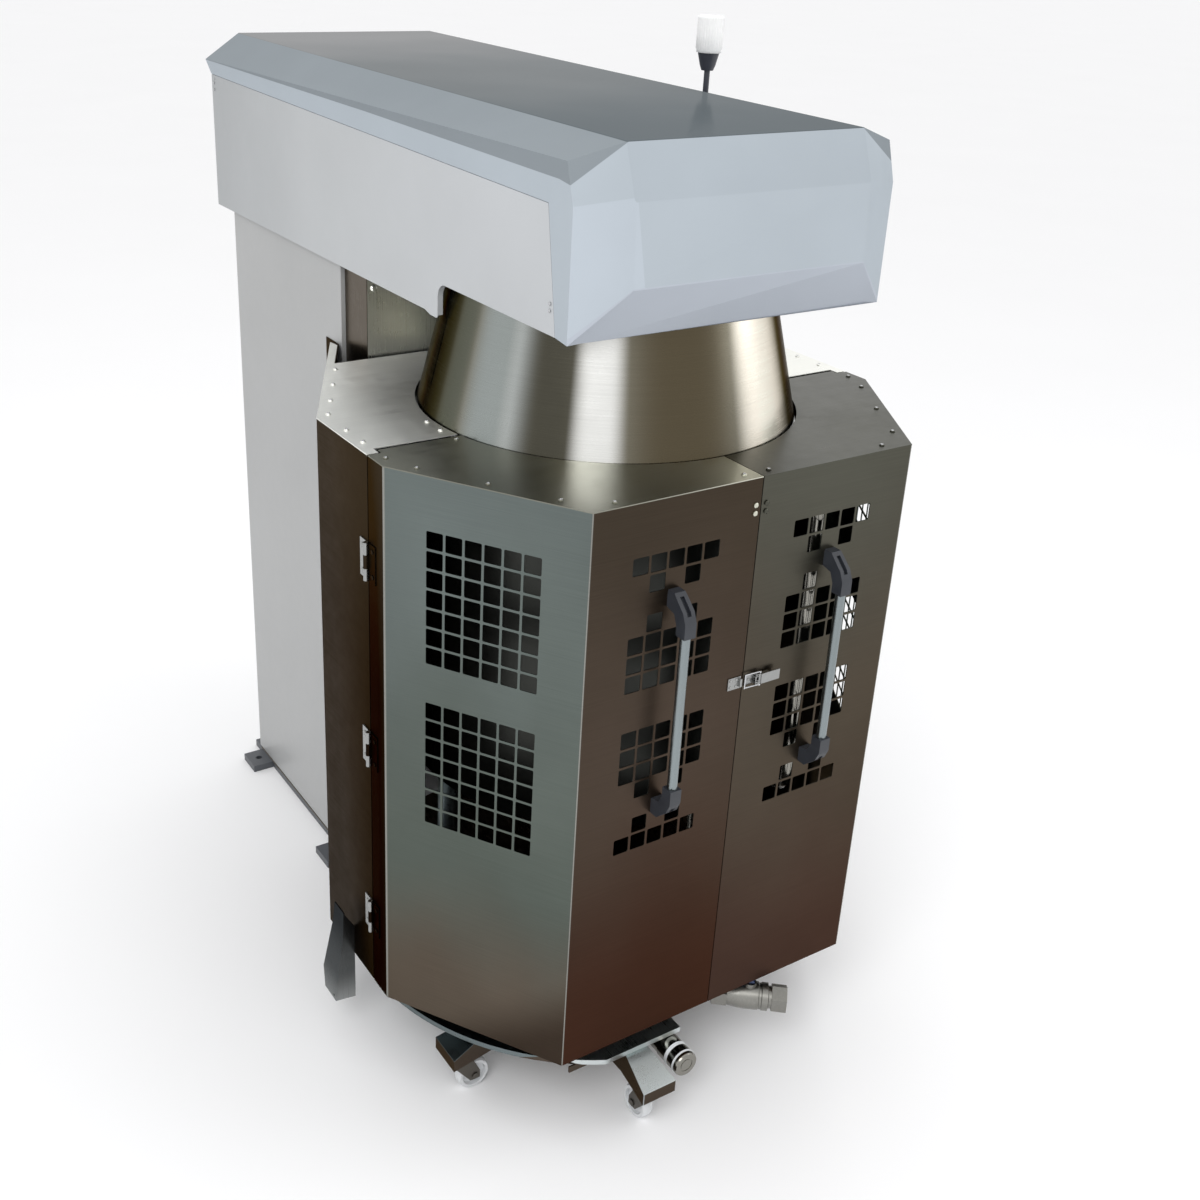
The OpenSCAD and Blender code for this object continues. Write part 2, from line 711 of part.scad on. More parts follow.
// The valve's direction as shares, and the place of its inner end
valve_share = [0.7677, -0.6408];
valve_dir = unit(valve_share);
valve_in_x = 77;
valve_in_y = 441;
valve_in = [valve_in_x, -valve_in_y];
valve_mid = valve_in + valve_dir * valve_l / 2;
drain_at = valve_in - valve_dir * drain_back;
drain_r = 17;
module trolley_frame() {
  notch_y = -drain_at[1] - drain_r * 2;
  color("slategray") {
    difference() {
      intersection() {
        translate([0, 0, trolley_z]) cylinder(h = trolley_t, r = trolley_r, $fn = 96);
        slab([-trolley_r, trolley_r], [-trolley_front, trolley_r], [trolley_z, trolley_z + trolley_t]);
      }
      slab([-notch_left, notch_right], [-trolley_r, -notch_y], [trolley_z - cut, trolley_z + trolley_t + cut]);
      translate([0, 0, trolley_z - cut]) cylinder(h = trolley_t + 2 * cut, r = dock_pin_r + gap);
      translate([-outlet_x, -outlet_drop_y, trolley_z - cut])
        cylinder(h = trolley_t + 2 * cut, r = outlet_r * bend_share);
    }
    for (i = [0:3]) at_arm(i) castor_arm(castor_arms[i][2], castor_arms[i][3]);
    slab([-front_arm_x - arm_half_in * 6, -front_arm_x - arm_half_in], [-apron_y, -apron_y + arm_t],
      [trolley_z - arm_slope_l * 0.15, trolley_z]);
    for (x = [-leg_x, leg_x], y = [-leg_x, leg_x]) translate([x, y, trolley_z + trolley_t])
      difference() {
        cylinder(h = jacket_bottom - trolley_z - trolley_t, r = leg_r);
        translate([0, 0, arm_t]) cylinder(h = jacket_bottom, r = leg_r - arm_t);
      }
  }
}

// Castors, modelled at an arm's end with the wheel trailing inwards
module fork() {
  inside = wheel_w / 2 + fork_t / 2;
  outside = inside + fork_t;
  half = kingpin_r * 3;
  crown_z = castor_h - gap;
  cheek = [
    [-half, crown_z - fork_t], [half, crown_z - fork_t], [half, wheel_r * 2],
    [axle_r * 2.4 - castor_trail, wheel_r - axle_r * 2], [-axle_r * 2.4 - castor_trail, wheel_r - axle_r * 2],
    [-axle_r * 2.4 - castor_trail, wheel_r + axle_r * 2]
  ];
  color("silver") {
    translate([0, 0, crown_z - fork_t * 2]) cylinder(h = fork_t * 2, r = kingpin_r * 3.6);
    slab([-half, half], [-outside, outside], [crown_z - fork_t * 2, crown_z - fork_t]);
    front_profile(cheek, inside, outside);
    front_profile(cheek, -outside, -inside);
    translate([0, 0, crown_z - fork_t]) cylinder(h = 2 * fork_t + gap + arm_t, r = kingpin_r, $fn = 32);
    translate([0, 0, castor_seat + fork_t / 3]) cylinder(h = kingpin_r, r = kingpin_r * 1.7, $fn = 6);
    translate([-castor_trail, 0, wheel_r]) rotate([90, 0, 0]) {
      cylinder(h = 2 * outside, r = axle_r, center = true, $fn = 32);
      for (end = [outside, -outside]) translate([0, 0, end])
        cylinder(h = axle_r, r = axle_r * 1.7, center = true, $fn = 6);
    }
  }
}
module castor_wheel() {
  half = wheel_w / 2 - gap;
  rim = half * 0.55;
  profile = [
    [axle_r + fit, -half], [axle_r * 2.2, -half], [axle_r * 2.2, -rim * 0.6], [wheel_r * 0.72, -rim * 0.6],
    [wheel_r * 0.76, -half], [wheel_r * 0.93, -half], [wheel_r, -rim], [wheel_r, rim],
    [wheel_r * 0.93, half], [wheel_r * 0.76, half], [wheel_r * 0.72, rim * 0.6],
    [axle_r * 2.2, rim * 0.6], [axle_r * 2.2, half], [axle_r + fit, half]
  ];
  color("gainsboro") translate([-castor_trail, 0, wheel_r]) rotate([90, 0, 0])
    rotate_extrude() polygon(profile);
}
module at_castor(i) {
  at_arm(i) translate([castor_arms[i][2] - castor_inset, 0, 0]) children();
}
module fork_front() { at_castor(0) fork(); }
module fork_left() { at_castor(1) fork(); }
module fork_right() { at_castor(2) fork(); }
module fork_rear() { at_castor(3) fork(); }
module wheel_front() { at_castor(0) castor_wheel(); }
module wheel_left() { at_castor(1) castor_wheel(); }
module wheel_right() { at_castor(2) castor_wheel(); }
module wheel_rear() { at_castor(3) castor_wheel(); }

// Vessel
rim_z = cab_top - rim_drop;
module bowl() {
  floor_arc = arc([bowl_r - bowl_corner_r, bowl_floor + bowl_corner_r], bowl_corner_r, -90, 0, 8);
  under_arc = arc([bowl_r - bowl_corner_r, bowl_floor + bowl_corner_r], bowl_corner_r + bowl_wall, 0, -90, 8);
  profile = concat(
    [[0, bowl_floor]], floor_arc, [[bowl_r, rim_z], [rim_r, rim_z], [rim_r, rim_z - rim_t],
    [bowl_r + bowl_wall, rim_z - rim_t]], under_arc, [[0, bowl_floor - bowl_wall]]
  );
  color("lightgray") difference() {
    rotate_extrude($fn = 96) polygon(profile);
    translate([-outlet_x, -outlet_drop_y, bowl_floor - bowl_wall - cut])
      cylinder(h = bowl_wall + 2 * cut, r = outlet_r - pipe_t);
  }
}
module jacket() {
  color("silver") difference() {
    union() {
      ring(jacket_r, jacket_r - jacket_t, jacket_bottom, jacket_top);
      ring(jacket_r, bowl_r + bowl_wall, jacket_top - jacket_t, jacket_top);
      translate([0, 0, jacket_bottom]) cylinder(h = jacket_t * 2, r = jacket_r - jacket_t / 2);
    }
    translate([-outlet_x, -outlet_drop_y, jacket_bottom - cut]) cylinder(h = jacket_t * 2 + 2 * cut, r = outlet_r);
    translate([drain_at[0], drain_at[1], jacket_bottom - cut])
      cylinder(h = jacket_t * 2 + 2 * cut, r = drain_r - pipe_t);
  }
}
module rim_gasket() {
  color("white") ring(cone_low_r, bowl_r + bowl_wall, rim_z, rim_z + gasket_t);
}

// Pipes. A bend lies in the XZ plane: it leaves the origin along +X and turns up to +Z
bend_share = 1.8;
module bend(r, turn_r) {
  translate([0, 0, turn_r]) rotate([90, 0, 0]) rotate_extrude(angle = -90)
    translate([turn_r, 0]) rotate([0, 0, 90]) difference() {
      circle(r = r);
      circle(r = r - pipe_t);
    }
}
module tube(r, length) {
  difference() {
    cylinder(h = length, r = r);
    translate([0, 0, -cut]) cylinder(h = length + 2 * cut, r = r - pipe_t);
  }
}
module jacket_pipes() {
  feed_turn = feed_r * bend_share;
  color("silver") {
    translate([feed_x, 0, 0]) rotate([0, 0, -90]) {
      translate([feed_reach, 0, feed_low + feed_turn]) tube(feed_r, feed_top - feed_low - 2 * feed_turn);
      translate([feed_reach - feed_turn, 0, feed_low]) bend(feed_r, feed_turn);
      translate([feed_reach - feed_turn, 0, feed_top]) mirror([0, 0, 1]) bend(feed_r, feed_turn);
    }
    for (z = [feed_low, feed_top]) difference() {
      translate([feed_x, feed_turn - feed_reach, z]) rotate([-90, 0, 0]) tube(feed_r, feed_reach / 4);
      cylinder(h = cab_top, r = jacket_r);
    }
    drain_turn = drain_r * bend_share;
    translate([drain_at[0], drain_at[1], 0]) rotate([0, 0, atan2(-valve_dir[1], -valve_dir[0])]) {
      translate([0, 0, valve_z + drain_turn]) tube(drain_r, jacket_bottom - valve_z - drain_turn);
      translate([-drain_turn, 0, valve_z]) bend(drain_r, drain_turn);
      translate([-drain_back, 0, valve_z]) rotate([0, 90, 0]) tube(drain_r, drain_back - drain_turn);
    }
  }
}
seal_l = 4;
cap_l = 33;
cap_ring = cap_l - 3 * seal_l;
module outlet_pipe() {
  turn = outlet_r * bend_share;
  clamp_y = outlet_end - cap_l - 2 * seal_l - outlet_r;
  color("silver") translate([-outlet_x, -outlet_drop_y, 0]) {
    translate([0, 0, outlet_z + turn]) tube(outlet_r, bowl_floor - bowl_wall - outlet_z - turn);
    rotate([0, 0, 90]) translate([-turn, 0, outlet_z]) bend(outlet_r, turn);
    translate([0, -turn, outlet_z]) rotate([90, 0, 0])
      tube(outlet_r, outlet_end - cap_l - 2 * seal_l - outlet_drop_y - turn);
    translate([0, outlet_drop_y - clamp_y, outlet_z]) rotate([90, 0, 0])
      ring(outlet_r + pipe_t, outlet_r, 0, outlet_r);
  }
}
seal_groove = 2;
module outlet_seals() {
  seal_r = outlet_r + pipe_t * 1.5;
  color("white") translate([-outlet_x, cap_l - outlet_end, outlet_z]) rotate([90, 0, 0]) {
    ring(seal_r, outlet_r - pipe_t, -2 * seal_l, 0);
    ring(seal_r, outlet_r, cap_ring - seal_groove, cap_ring + seal_groove);
  }
}
module outlet_cap() {
  profile = [
    [0, 0], [outlet_r + pipe_t, 0], [outlet_r + pipe_t, cap_ring - seal_groove],
    [outlet_r, cap_ring - seal_groove], [outlet_r, cap_ring + seal_groove],
    [outlet_r + pipe_t, cap_ring + seal_groove], [outlet_r + pipe_t, cap_l - seal_l],
    [outlet_r, cap_l], [outlet_r * 0.6, cap_l],
    [outlet_r * 0.6, cap_l - pipe_t / 2], [outlet_r * 0.5, cap_l - pipe_t / 2], [outlet_r * 0.5, cap_l], [0, cap_l]
  ];
  color("gray") translate([-outlet_x, -outlet_end + cap_l, outlet_z]) rotate([90, 0, 0])
    rotate_extrude() polygon(profile);
}

// Ball valve, its axis along +X from the pipe's end
module at_valve() {
  translate([valve_in[0], valve_in[1], valve_z]) rotate([0, 0, atan2(valve_dir[1], valve_dir[0])]) children();
}
stem_r = 7;
stem_top = valve_r + 2 * stem_r;
module valve_body() {
  hex_r = valve_flats / sqrt(3);
  hex_l = valve_l * 0.2;
  bore = drain_r - pipe_t;
  shell = [
    [bore, 0], [valve_flats / 2, 0], [valve_flats / 2, valve_l * 0.2], [valve_r * 0.88, valve_l * 0.2],
    [valve_r, valve_l * 0.36], [valve_r, valve_l * 0.62], [valve_r * 0.94, valve_l * 0.63],
    [valve_r * 0.94, valve_l * 0.66], [valve_r, valve_l * 0.67], [valve_r, valve_l * 0.75],
    [valve_r * 0.8, valve_l * 0.76], [valve_r * 0.8, valve_l], [bore, valve_l]
  ];
  color("silver") at_valve() difference() {
    union() {
      rotate([0, 90, 0]) rotate_extrude() polygon(shell);
      for (x = [0, valve_l - hex_l]) translate([x, 0, 0]) rotate([0, 90, 0]) difference() {
        cylinder(h = hex_l, r = hex_r, $fn = 6);
        translate([0, 0, -cut]) cylinder(h = hex_l + 2 * cut, r = bore);
      }
      translate([valve_l / 2, 0, valve_r * 0.8]) cylinder(h = valve_r * 0.2 + stem_r, r = stem_r * 2);
    }
    translate([valve_l / 2, 0, bore]) cylinder(h = valve_r * 2, r = stem_r + fit);
    translate([valve_l / 2, 0, 0]) sphere(r = bore * 1.35 + gap);
  }
}
module valve_lever() {
  bore = drain_r - pipe_t;
  lever_half = stem_r * 1.3;
  lever_t = 4;
  color("silver") at_valve() translate([valve_l / 2, 0, 0]) {
    difference() {
      sphere(r = bore * 1.35);
      rotate([90, 0, 0]) cylinder(h = bore * 4, r = bore * 0.9, center = true);
    }
    translate([0, 0, bore * 1.2]) cylinder(h = stem_top - bore * 1.2 + stem_r, r = stem_r);
    slab([-valve_lever_l, lever_half], [-lever_half, lever_half], [stem_top - lever_t, stem_top]);
    translate([0, 0, stem_top]) cylinder(h = stem_r * 0.6, r = stem_r * 1.6, $fn = 6);
  }
}

// Hood, one faceted moulding: the right half's corners, drawn in by t all round for the inside
function hood_half(t) = [
  [face_half_w - t, -top_front_y + t, cab_top + hood_top_front_h - t],
  [face_half_w - t, -brow_y + t, cab_top + brow_h],
  [face_half_w - t, -nose_y + t, cab_top + nose_h],
  [chin_half_w - t, -chin_y + t, cab_top + chin_h - (t > 0 ? cut : 0)],
  [cheek_half_w - t, -crease_y + t, cab_top + crease_front_h - t / 2],
  [cheek_half_w - t, -jaw_y + t, cab_top + cheek_h],
  [cheek_half_w - t, -jaw_y + t, cab_top + chin_h - (t > 0 ? cut : 0)],
  [panel_half_w - t, -jaw_y + strip_w, cab_top + chin_h - (t > 0 ? cut : 0)],
  [panel_half_w - t, -jaw_y + strip_w + panel_rake, cab_top + panel_front_h],
  [face_half_w + rear_flare - t, hood_rear - t, cab_top + hood_top_rear_h - t],
  [crease_half_w - t, hood_rear - t, cab_top + crease_rear_h - t / 2],
  [panel_half_w - t, hood_rear - t, cab_top + panel_rear_h],
  [panel_half_w - t, hood_rear - t, cab_top + chin_h - (t > 0 ? cut : 0)]
];
// Width of the cap's side strip and the lean of its rear edge
strip_w = 54;
panel_rake = 37;
rear_flare = 12;
// Faces of the right half, by the corners above
half_faces = [
  [0, 9, 10], [0, 10, 4], [4, 10, 11], [4, 11, 8], [8, 11, 12, 7], [4, 8, 5], [8, 7, 5], [7, 6, 5],
  [0, 4, 5], [0, 5, 1], [1, 5, 6], [1, 6, 2], [2, 6, 3]
];
// Faces that cross from the left half, marked by a shift of 13, to the right half
cross_faces = [
  [13, 22, 9, 0], [13, 0, 1, 14], [14, 1, 2, 15], [15, 2, 3, 16], [16, 3, 6, 7, 12, 25, 20, 19],
  [9, 22, 23, 24, 25, 12, 11, 10]
];
module hood_block(t) {
  right = hood_half(t);
  left = [for (p = right) [-p[0], p[1], p[2]]];
  mirrored = [for (f = half_faces) [for (i = [len(f) - 1:-1:0]) f[i] + len(right)]];
  polyhedron(points = concat(right, left), faces = concat(half_faces, mirrored, cross_faces));
}
panel_gap = 1;
// The side panel's outline in Y and Z, from its rear top corner round the hook at its lower edge
function panel_outline(grow) = let (
  hook_r = 28,
  dip = 6,
  low = cab_top + panel_low_h - grow,
  step = cab_top + chin_h - grow
) concat(
  [[hood_rear + grow, cab_top + panel_rear_h + grow], [hood_rear + grow, low],
  [hook_y + dip * 9, low], [hook_y + dip * 5, low - dip]],
  arc([hook_y + dip, low], dip, -90, -180, 4),
  arc([hook_y - hook_r, step - hook_r], hook_r, 0, 90, 6),
  [[-jaw_y + strip_w - grow, step],
  [-jaw_y + strip_w + panel_rake - grow, cab_top + panel_front_h + grow]]
);
module hood() {
  low = cab_top + panel_low_h;
  front = cab_top + panel_front_h;
  rear = cab_top + panel_rear_h;
  ledge = [
    [strip_w - jaw_y + panel_rake, front - lip_w / 2], [hood_rear, rear - lip_w / 2],
    [hood_rear, rear + 2 * hood_t], [strip_w - jaw_y + panel_rake, front + 2 * hood_t]
  ];
  color("lightsteelblue") {
    difference() {
      hood_block(0);
      hood_block(hood_t);
      both_sides() side_profile(panel_outline(panel_gap), panel_half_w - 2 * hood_t, panel_half_w + cut);
    }
    slab([sheet_t - panel_half_w, panel_half_w - sheet_t], [hood_rear - hood_t, hood_rear],
      [low, cab_top + chin_h + hood_t]);
    both_sides() side_profile(ledge, panel_half_w - sheet_t - hood_t, panel_half_w - sheet_t);
  }
}
module side_panel() {
  outline = panel_outline(0);
  edge = [for (i = [8:len(outline) - 2]) outline[i]];
  side_profile(outline, panel_half_w - sheet_t, panel_half_w);
  side_profile(strip(edge, -sheet_t), panel_half_w - lip_w * 0.6, panel_half_w);
  translate([panel_half_w, hood_rear - lip_w, cab_top + panel_rear_h - lip_w / 2])
    rotate([0, 90, 0]) scale(0.6) screw_head();
}
module side_panel_left() { color("whitesmoke") mirror([1, 0, 0]) side_panel(); }
module side_panel_right() { color("whitesmoke") side_panel(); }

// Head frame, carriage and mast cover
floor_z = head_z;
floor_top = floor_z + floor_t;
motor_plate_z = floor_top + frame_h - floor_t;
module head_frame() {
  reach = chin_y - 2 * lip_w;
  color("dimgray") difference() {
    union() {
      slab([-frame_half_w, frame_half_w], [-reach, carriage_y], [floor_z, floor_top]);
      both_sides() {
        slab([frame_half_w - floor_t, frame_half_w], [-reach, carriage_y], [floor_z, floor_z + frame_h]);
        for (y = [-reach / 2, carriage_y - 2 * lip_w])
          slab([frame_half_w, panel_half_w - sheet_t], [y, y + lip_w], [floor_top, floor_top + 2 * lip_w]);
      }
      slab([-frame_half_w, frame_half_w], [-reach, -reach + floor_t], [floor_z, floor_z + frame_h]);
      slab([-frame_half_w, frame_half_w], [motor_y - motor_r - lip_w, carriage_y],
        [motor_plate_z, motor_plate_z + floor_t]);
    }
    translate([0, 0, floor_z - cut]) cylinder(h = floor_t + 2 * cut, r = main_shaft_r * 2.05);
    translate([0, motor_y, motor_plate_z - cut]) cylinder(h = floor_t + 2 * cut, r = small_pulley_r * 0.5);
  }
}
carriage_low = cab_top - carriage_drop;
lift_arm_gap = 7;
lift_arm_t = 18;
arm_z = base_t + column_h + lift_arm_gap;
arm_top = arm_z + lift_arm_t;
module carriage() {
  half = frame_half_w - floor_t - sheet_t * 2;
  back = carriage_y + carriage_t;
  block_half = rail_w * 1.3;
  color("gray") {
    slab([-half, half], [carriage_y, back], [carriage_low, arm_top]);
    difference() {
      slab([-barrel_r * 2, barrel_r * 2], [back - cut, ram_y + barrel_r * 1.6], [arm_z, arm_top]);
      translate([0, ram_y, arm_z - cut]) cylinder(h = arm_top - arm_z + 2 * cut, r = rod_r * 0.7);
    }
    both_sides() for (z = [carriage_low, carriage_low + block_l * 2.5]) difference() {
      slab([rail_x - block_half, rail_x + block_half], [back - cut, column_front - gap * 10], [z, z + block_l]);
      slab([rail_x - rail_w / 2 - gap, rail_x + rail_w / 2 + gap], [column_front - rail_d - gap, column_front],
        [z - cut, z + block_l + cut]);
    }
  }
}
module mast_cover() {
  low = carriage_low - lip_w / 2;
  back = column_front - sheet_t;
  outer = [[mast_half_w, back], [mast_half_w, mast_front], [-mast_half_w, mast_front], [-mast_half_w, back]];
  color("darkgray") {
    prism(strip(outer, -sheet_t), low, floor_z - gap);
    both_sides() slab([frame_half_w - floor_t * 2, mast_half_w - sheet_t], [carriage_y - sheet_t, carriage_y],
             [low + lip_w, floor_z - lip_w]);
    both_sides() translate([mast_half_w - lip_w * 0.85, mast_front, cab_top + block_l * 1.3])
      rotate([90, 0, 0]) scale(1.4) screw_head();
  }
}
rod_low = barrel_top - barrel_l + barrel_r;
module lift_rod() {
  color("whitesmoke") translate([0, ram_y, 0]) {
    translate([0, 0, rod_low]) cylinder(h = arm_z - rod_low, r = rod_r);
    translate([0, 0, rod_low]) cylinder(h = barrel_r, r = piston_r);
    translate([0, 0, arm_z]) cylinder(h = arm_top - arm_z, r = rod_r * 0.7);
    translate([0, 0, arm_top]) cylinder(h = rod_r * 0.6, r = rod_r * 1.2, $fn = 6);
  }
}

cone_low_z = rim_z + gasket_t + gap;
module cone_shroud() {
  lap_h = (floor_z - cone_low_z) * 0.78;
  slope = (cone_low_r - cone_top_r) / (floor_z - cone_low_z);
  profile = [
    [cone_low_r, cone_low_z], [cone_top_r, floor_z], [cone_top_r - lip_w, floor_z],
    [cone_top_r - lip_w, floor_z - cone_t], [cone_top_r - cone_t * 1.2, floor_z - cone_t],
    [cone_low_r - cone_t, cone_low_z]
  ];
  lap = [
    [cone_top_r + slope * lap_h - cone_t / 2, floor_z - lap_h], [cone_top_r + slope * lap_h + cone_t * 0.6, floor_z - lap_h],
    [cone_top_r + cone_t * 0.6, floor_z], [cone_top_r - cone_t / 2, floor_z]
  ];
  color("silver") {
    rotate_extrude($fn = 96) polygon(profile);
    rotate([0, 0, 160]) intersection() {
      rotate_extrude(angle = 8, $fn = 96) polygon(lap);
      cylinder(h = floor_z, r = cone_low_r + lip_w);
    }
  }
}

// Planetary drive
sun_teeth = 24;
planet_teeth = 18;
gear_module = tool_offset * 2 / (sun_teeth + planet_teeth);
pressure_a = 20;
gear_w = 40;
gear_low = floor_z - carrier_h + gear_w / 2;
// Angle from the start of an involute to its point at radius r, in degrees
function roll_deg(r_base, r) = let (t = sqrt(max(0, pow(r / r_base, 2) - 1))) t * 180 / PI - atan(t);
// The outline of a gear whose teeth are thinned by backlash along the pitch circle
function gear_outline(teeth, backlash) = let (
  pitch_r = gear_module * teeth / 2,
  base_r = pitch_r * cos(pressure_a),
  root_r = pitch_r - gear_module * 1.2,
  tip_r = pitch_r + gear_module * 0.9,
  half_a = 90 / teeth - backlash / pitch_r * 90 / PI,
  start_a = half_a + roll_deg(base_r, pitch_r),
  flank = [for (i = [0:3]) let (r = base_r + (tip_r - base_r) * i / 3) [r, start_a - roll_deg(base_r, r)]]
) [for (tooth = [0:teeth - 1], p = concat(
    [[root_r, -start_a - 1]], [for (q = flank) [q[0], -q[1]]],
    [for (i = [3:-1:0]) flank[i]], [[root_r, start_a + 1]]
  )) let (a = tooth * 360 / teeth + p[1]) p[0] * [cos(a), sin(a)]];
gear_backlash = gear_module * 0.08;

spigot_r = main_shaft_r * 2;
housing_flange = 14;
bearing_h = 40;
module gearbox_housing() {
  inner = main_shaft_r + fit;
  relief = main_shaft_r * 1.25;
  top = motor_plate_z - lip_w;
  profile = [
    [inner, gear_low], [spigot_r, gear_low], [spigot_r, floor_top], [spigot_r * 3.1, floor_top],
    [spigot_r * 3.1, floor_top + housing_flange], [spigot_r * 2.4, floor_top + housing_flange],
    [spigot_r * 2.2, top - lip_w], [spigot_r * 1.6, top], [inner, top], [inner, top - bearing_h],
    [relief, top - bearing_h * 1.25], [relief, gear_low + bearing_h * 1.5], [inner, gear_low + bearing_h * 1.25]
  ];
  color("steelblue") rotate_extrude() polygon(profile);
}
module sun_gear() {
  color("goldenrod") translate([0, 0, gear_low]) linear_extrude(gear_w) difference() {
    polygon(gear_outline(sun_teeth, gear_backlash));
    circle(r = spigot_r);
  }
}
pulley_gap = 20;
pulley_z = motor_plate_z + floor_t + pulley_gap;
motor_shaft_l = 38;
module motor() {
  fin = 4;
  bottom = floor_top + fin;
  profile = concat(
    [[0, bottom], [motor_r * 0.9, bottom], [motor_r, bottom + fin * 2]],
    [for (i = [0:7]) for (q = [[0, 3], [-1, 3.3], [-1, 4.2], [0, 4.5]])
      [motor_r + q[0] * fin, bottom + (i * 3.6 + q[1]) * fin]],
    [[motor_r, motor_plate_z - fin * 3], [motor_r * 1.1, motor_plate_z - fin * 3],
    [motor_r * 1.1, motor_plate_z], [small_pulley_r * 0.3 + fit, motor_plate_z],
    [small_pulley_r * 0.3 + fit, motor_plate_z - motor_shaft_l - fin / 2],
    [0, motor_plate_z - motor_shaft_l - fin / 2]]
  );
  color("royalblue") translate([0, motor_y, 0]) rotate_extrude() polygon(profile);
}
module pulley(r, hub_r) {
  groove = belt_w / 10;
  profile = [
    [hub_r, 0], [r + groove, 0], [r + groove, groove], [r, groove * 1.5], [r, belt_w + groove * 3.5],
    [r + groove, belt_w + groove * 4], [r + groove, belt_w + groove * 5], [hub_r, belt_w + groove * 5]
  ];
  rotate_extrude() polygon(profile);
}
module motor_pulley() {
  shaft = small_pulley_r * 0.3;
  color("dimgray") translate([0, motor_y, 0]) {
    translate([0, 0, motor_plate_z - motor_shaft_l])
      cylinder(h = pulley_z - motor_plate_z + motor_shaft_l + belt_w, r = shaft);
    translate([0, 0, pulley_z]) pulley(small_pulley_r, shaft);
  }
}
// The belt round both pulleys: two discs and the straight runs between their tangent points
module belt_shape(grow) {
  big = big_pulley_r + grow;
  small = small_pulley_r + grow;
  a = acos((big - small) / motor_y);
  circle(r = big);
  translate([0, motor_y]) circle(r = small);
  polygon([
    big * [sin(a), cos(a)], [0, motor_y] + small * [sin(a), cos(a)],
    [0, motor_y] + small * [-sin(a), cos(a)], big * [-sin(a), cos(a)]
  ]);
}
module drive_belt() {
  belt_t = belt_w / 6;
  color("dimgray") translate([0, 0, pulley_z + belt_w / 4]) linear_extrude(belt_w) difference() {
    belt_shape(gap + belt_t);
    belt_shape(gap);
  }
}
carrier_low = floor_z - carrier_h - gap * 60;
module planet_carrier() {
  wall = 10;
  boss_r = tool_shaft_r * 2.2;
  top = carrier_low + carrier_h - gap * 20;
  color("lightgray") {
    difference() {
      union() {
        translate([0, 0, carrier_low]) cylinder(h = wall, r = carrier_r);
        ring(carrier_r, carrier_r - wall, carrier_low, top);
        ring(carrier_r, spigot_r + wall, top - wall, top);
        for (side = [-1, 1]) translate([side * tool_offset, 0, carrier_low - wall * 2])
          cylinder(h = wall * 3, r1 = boss_r * 0.9, r2 = boss_r);
      }
      for (side = [-1, 1]) translate([side * tool_offset, 0, carrier_low - wall * 3])
        cylinder(h = carrier_h * 2, r = tool_shaft_r + fit);
      translate([0, 0, carrier_low - cut]) cylinder(h = wall + 2 * cut, r = main_shaft_r);
    }
  }
}
module main_shaft() {
  groove = belt_w / 10;
  collar = belt_w * 0.4;
  color("gray") {
    translate([0, 0, carrier_low - collar]) cylinder(h = pulley_z + belt_w - carrier_low + 2 * collar, r = main_shaft_r);
    translate([0, 0, carrier_low - collar]) cylinder(h = collar, r = main_shaft_r * 1.6);
    translate([0, 0, pulley_z]) pulley(big_pulley_r, main_shaft_r);
    translate([0, 0, pulley_z - groove * 2]) cylinder(h = groove * 2, r = main_shaft_r * 1.5);
  }
}
beater_low = bowl_floor + beater_gap;
module beater(turn) {
  top = carrier_low + carrier_h - gap * 20;
  high = beater_low + beater_h;
  foot_y = bar_t / 2;
  rotate([0, 0, turn]) {
    for (z = [beater_low, beater_low + beater_h / 2, high - bar_w])
      slab([-beater_r + bar_w / 2, beater_r - bar_w / 2], [-foot_y, foot_y], [z, z + bar_w]);
    for (side = [-1, 1]) slab([side > 0 ? beater_r - bar_w : -beater_r, side > 0 ? beater_r : -beater_r + bar_w],
                 [-foot_y, foot_y], [beater_low, high]);
    translate([0, 0, high - bar_w * 1.5]) cylinder(h = bar_w * 2.5, r = tool_shaft_r * 1.4);
  }
  translate([0, 0, beater_low + bar_w / 2]) cylinder(h = high - beater_low, r = tool_shaft_r * 0.8);
  translate([0, 0, high - bar_w]) cylinder(h = top - high + bar_w, r = tool_shaft_r);
  translate([0, 0, gear_low]) rotate([0, 0, 180 / planet_teeth])
    linear_extrude(gear_w) polygon(gear_outline(planet_teeth, gear_backlash));
}
module beater_left() { color("silver") translate([-tool_offset, 0, 0]) beater(90); }
module beater_right() { color("silver") translate([tool_offset, 0, 0]) beater(0); }

scraper_gap = 1;
post_r = 14;
post_inset = 37;
post_y = bowl_r - post_inset;
blade_low = bowl_floor + bowl_corner_r;
module scraper_arm() {
  arm_h = 28;
  inner = carrier_r * 0.7;
  color("gray") {
    slab([-post_r, post_r], [inner, post_y + post_r], [carrier_low - arm_h, carrier_low]);
    translate([0, post_y, blade_low]) cylinder(h = carrier_low - blade_low - arm_h / 2, r = post_r);
  }
}
module scraper_blade() {
  blade_t = 10;
  inner = post_y + post_r * 0.5;
  outer = bowl_r - scraper_gap;
  lean = 8;
  color("white") difference() {
    prism([[-blade_t, inner], [blade_t, inner], [lean, outer - lean], [0, outer - gap], [-lean, outer - lean]],
       blade_low, rim_z - rim_t);
    translate([0, post_y, blade_low - cut]) cylinder(h = rim_z - blade_low + 2 * cut, r = post_r);
  }
}

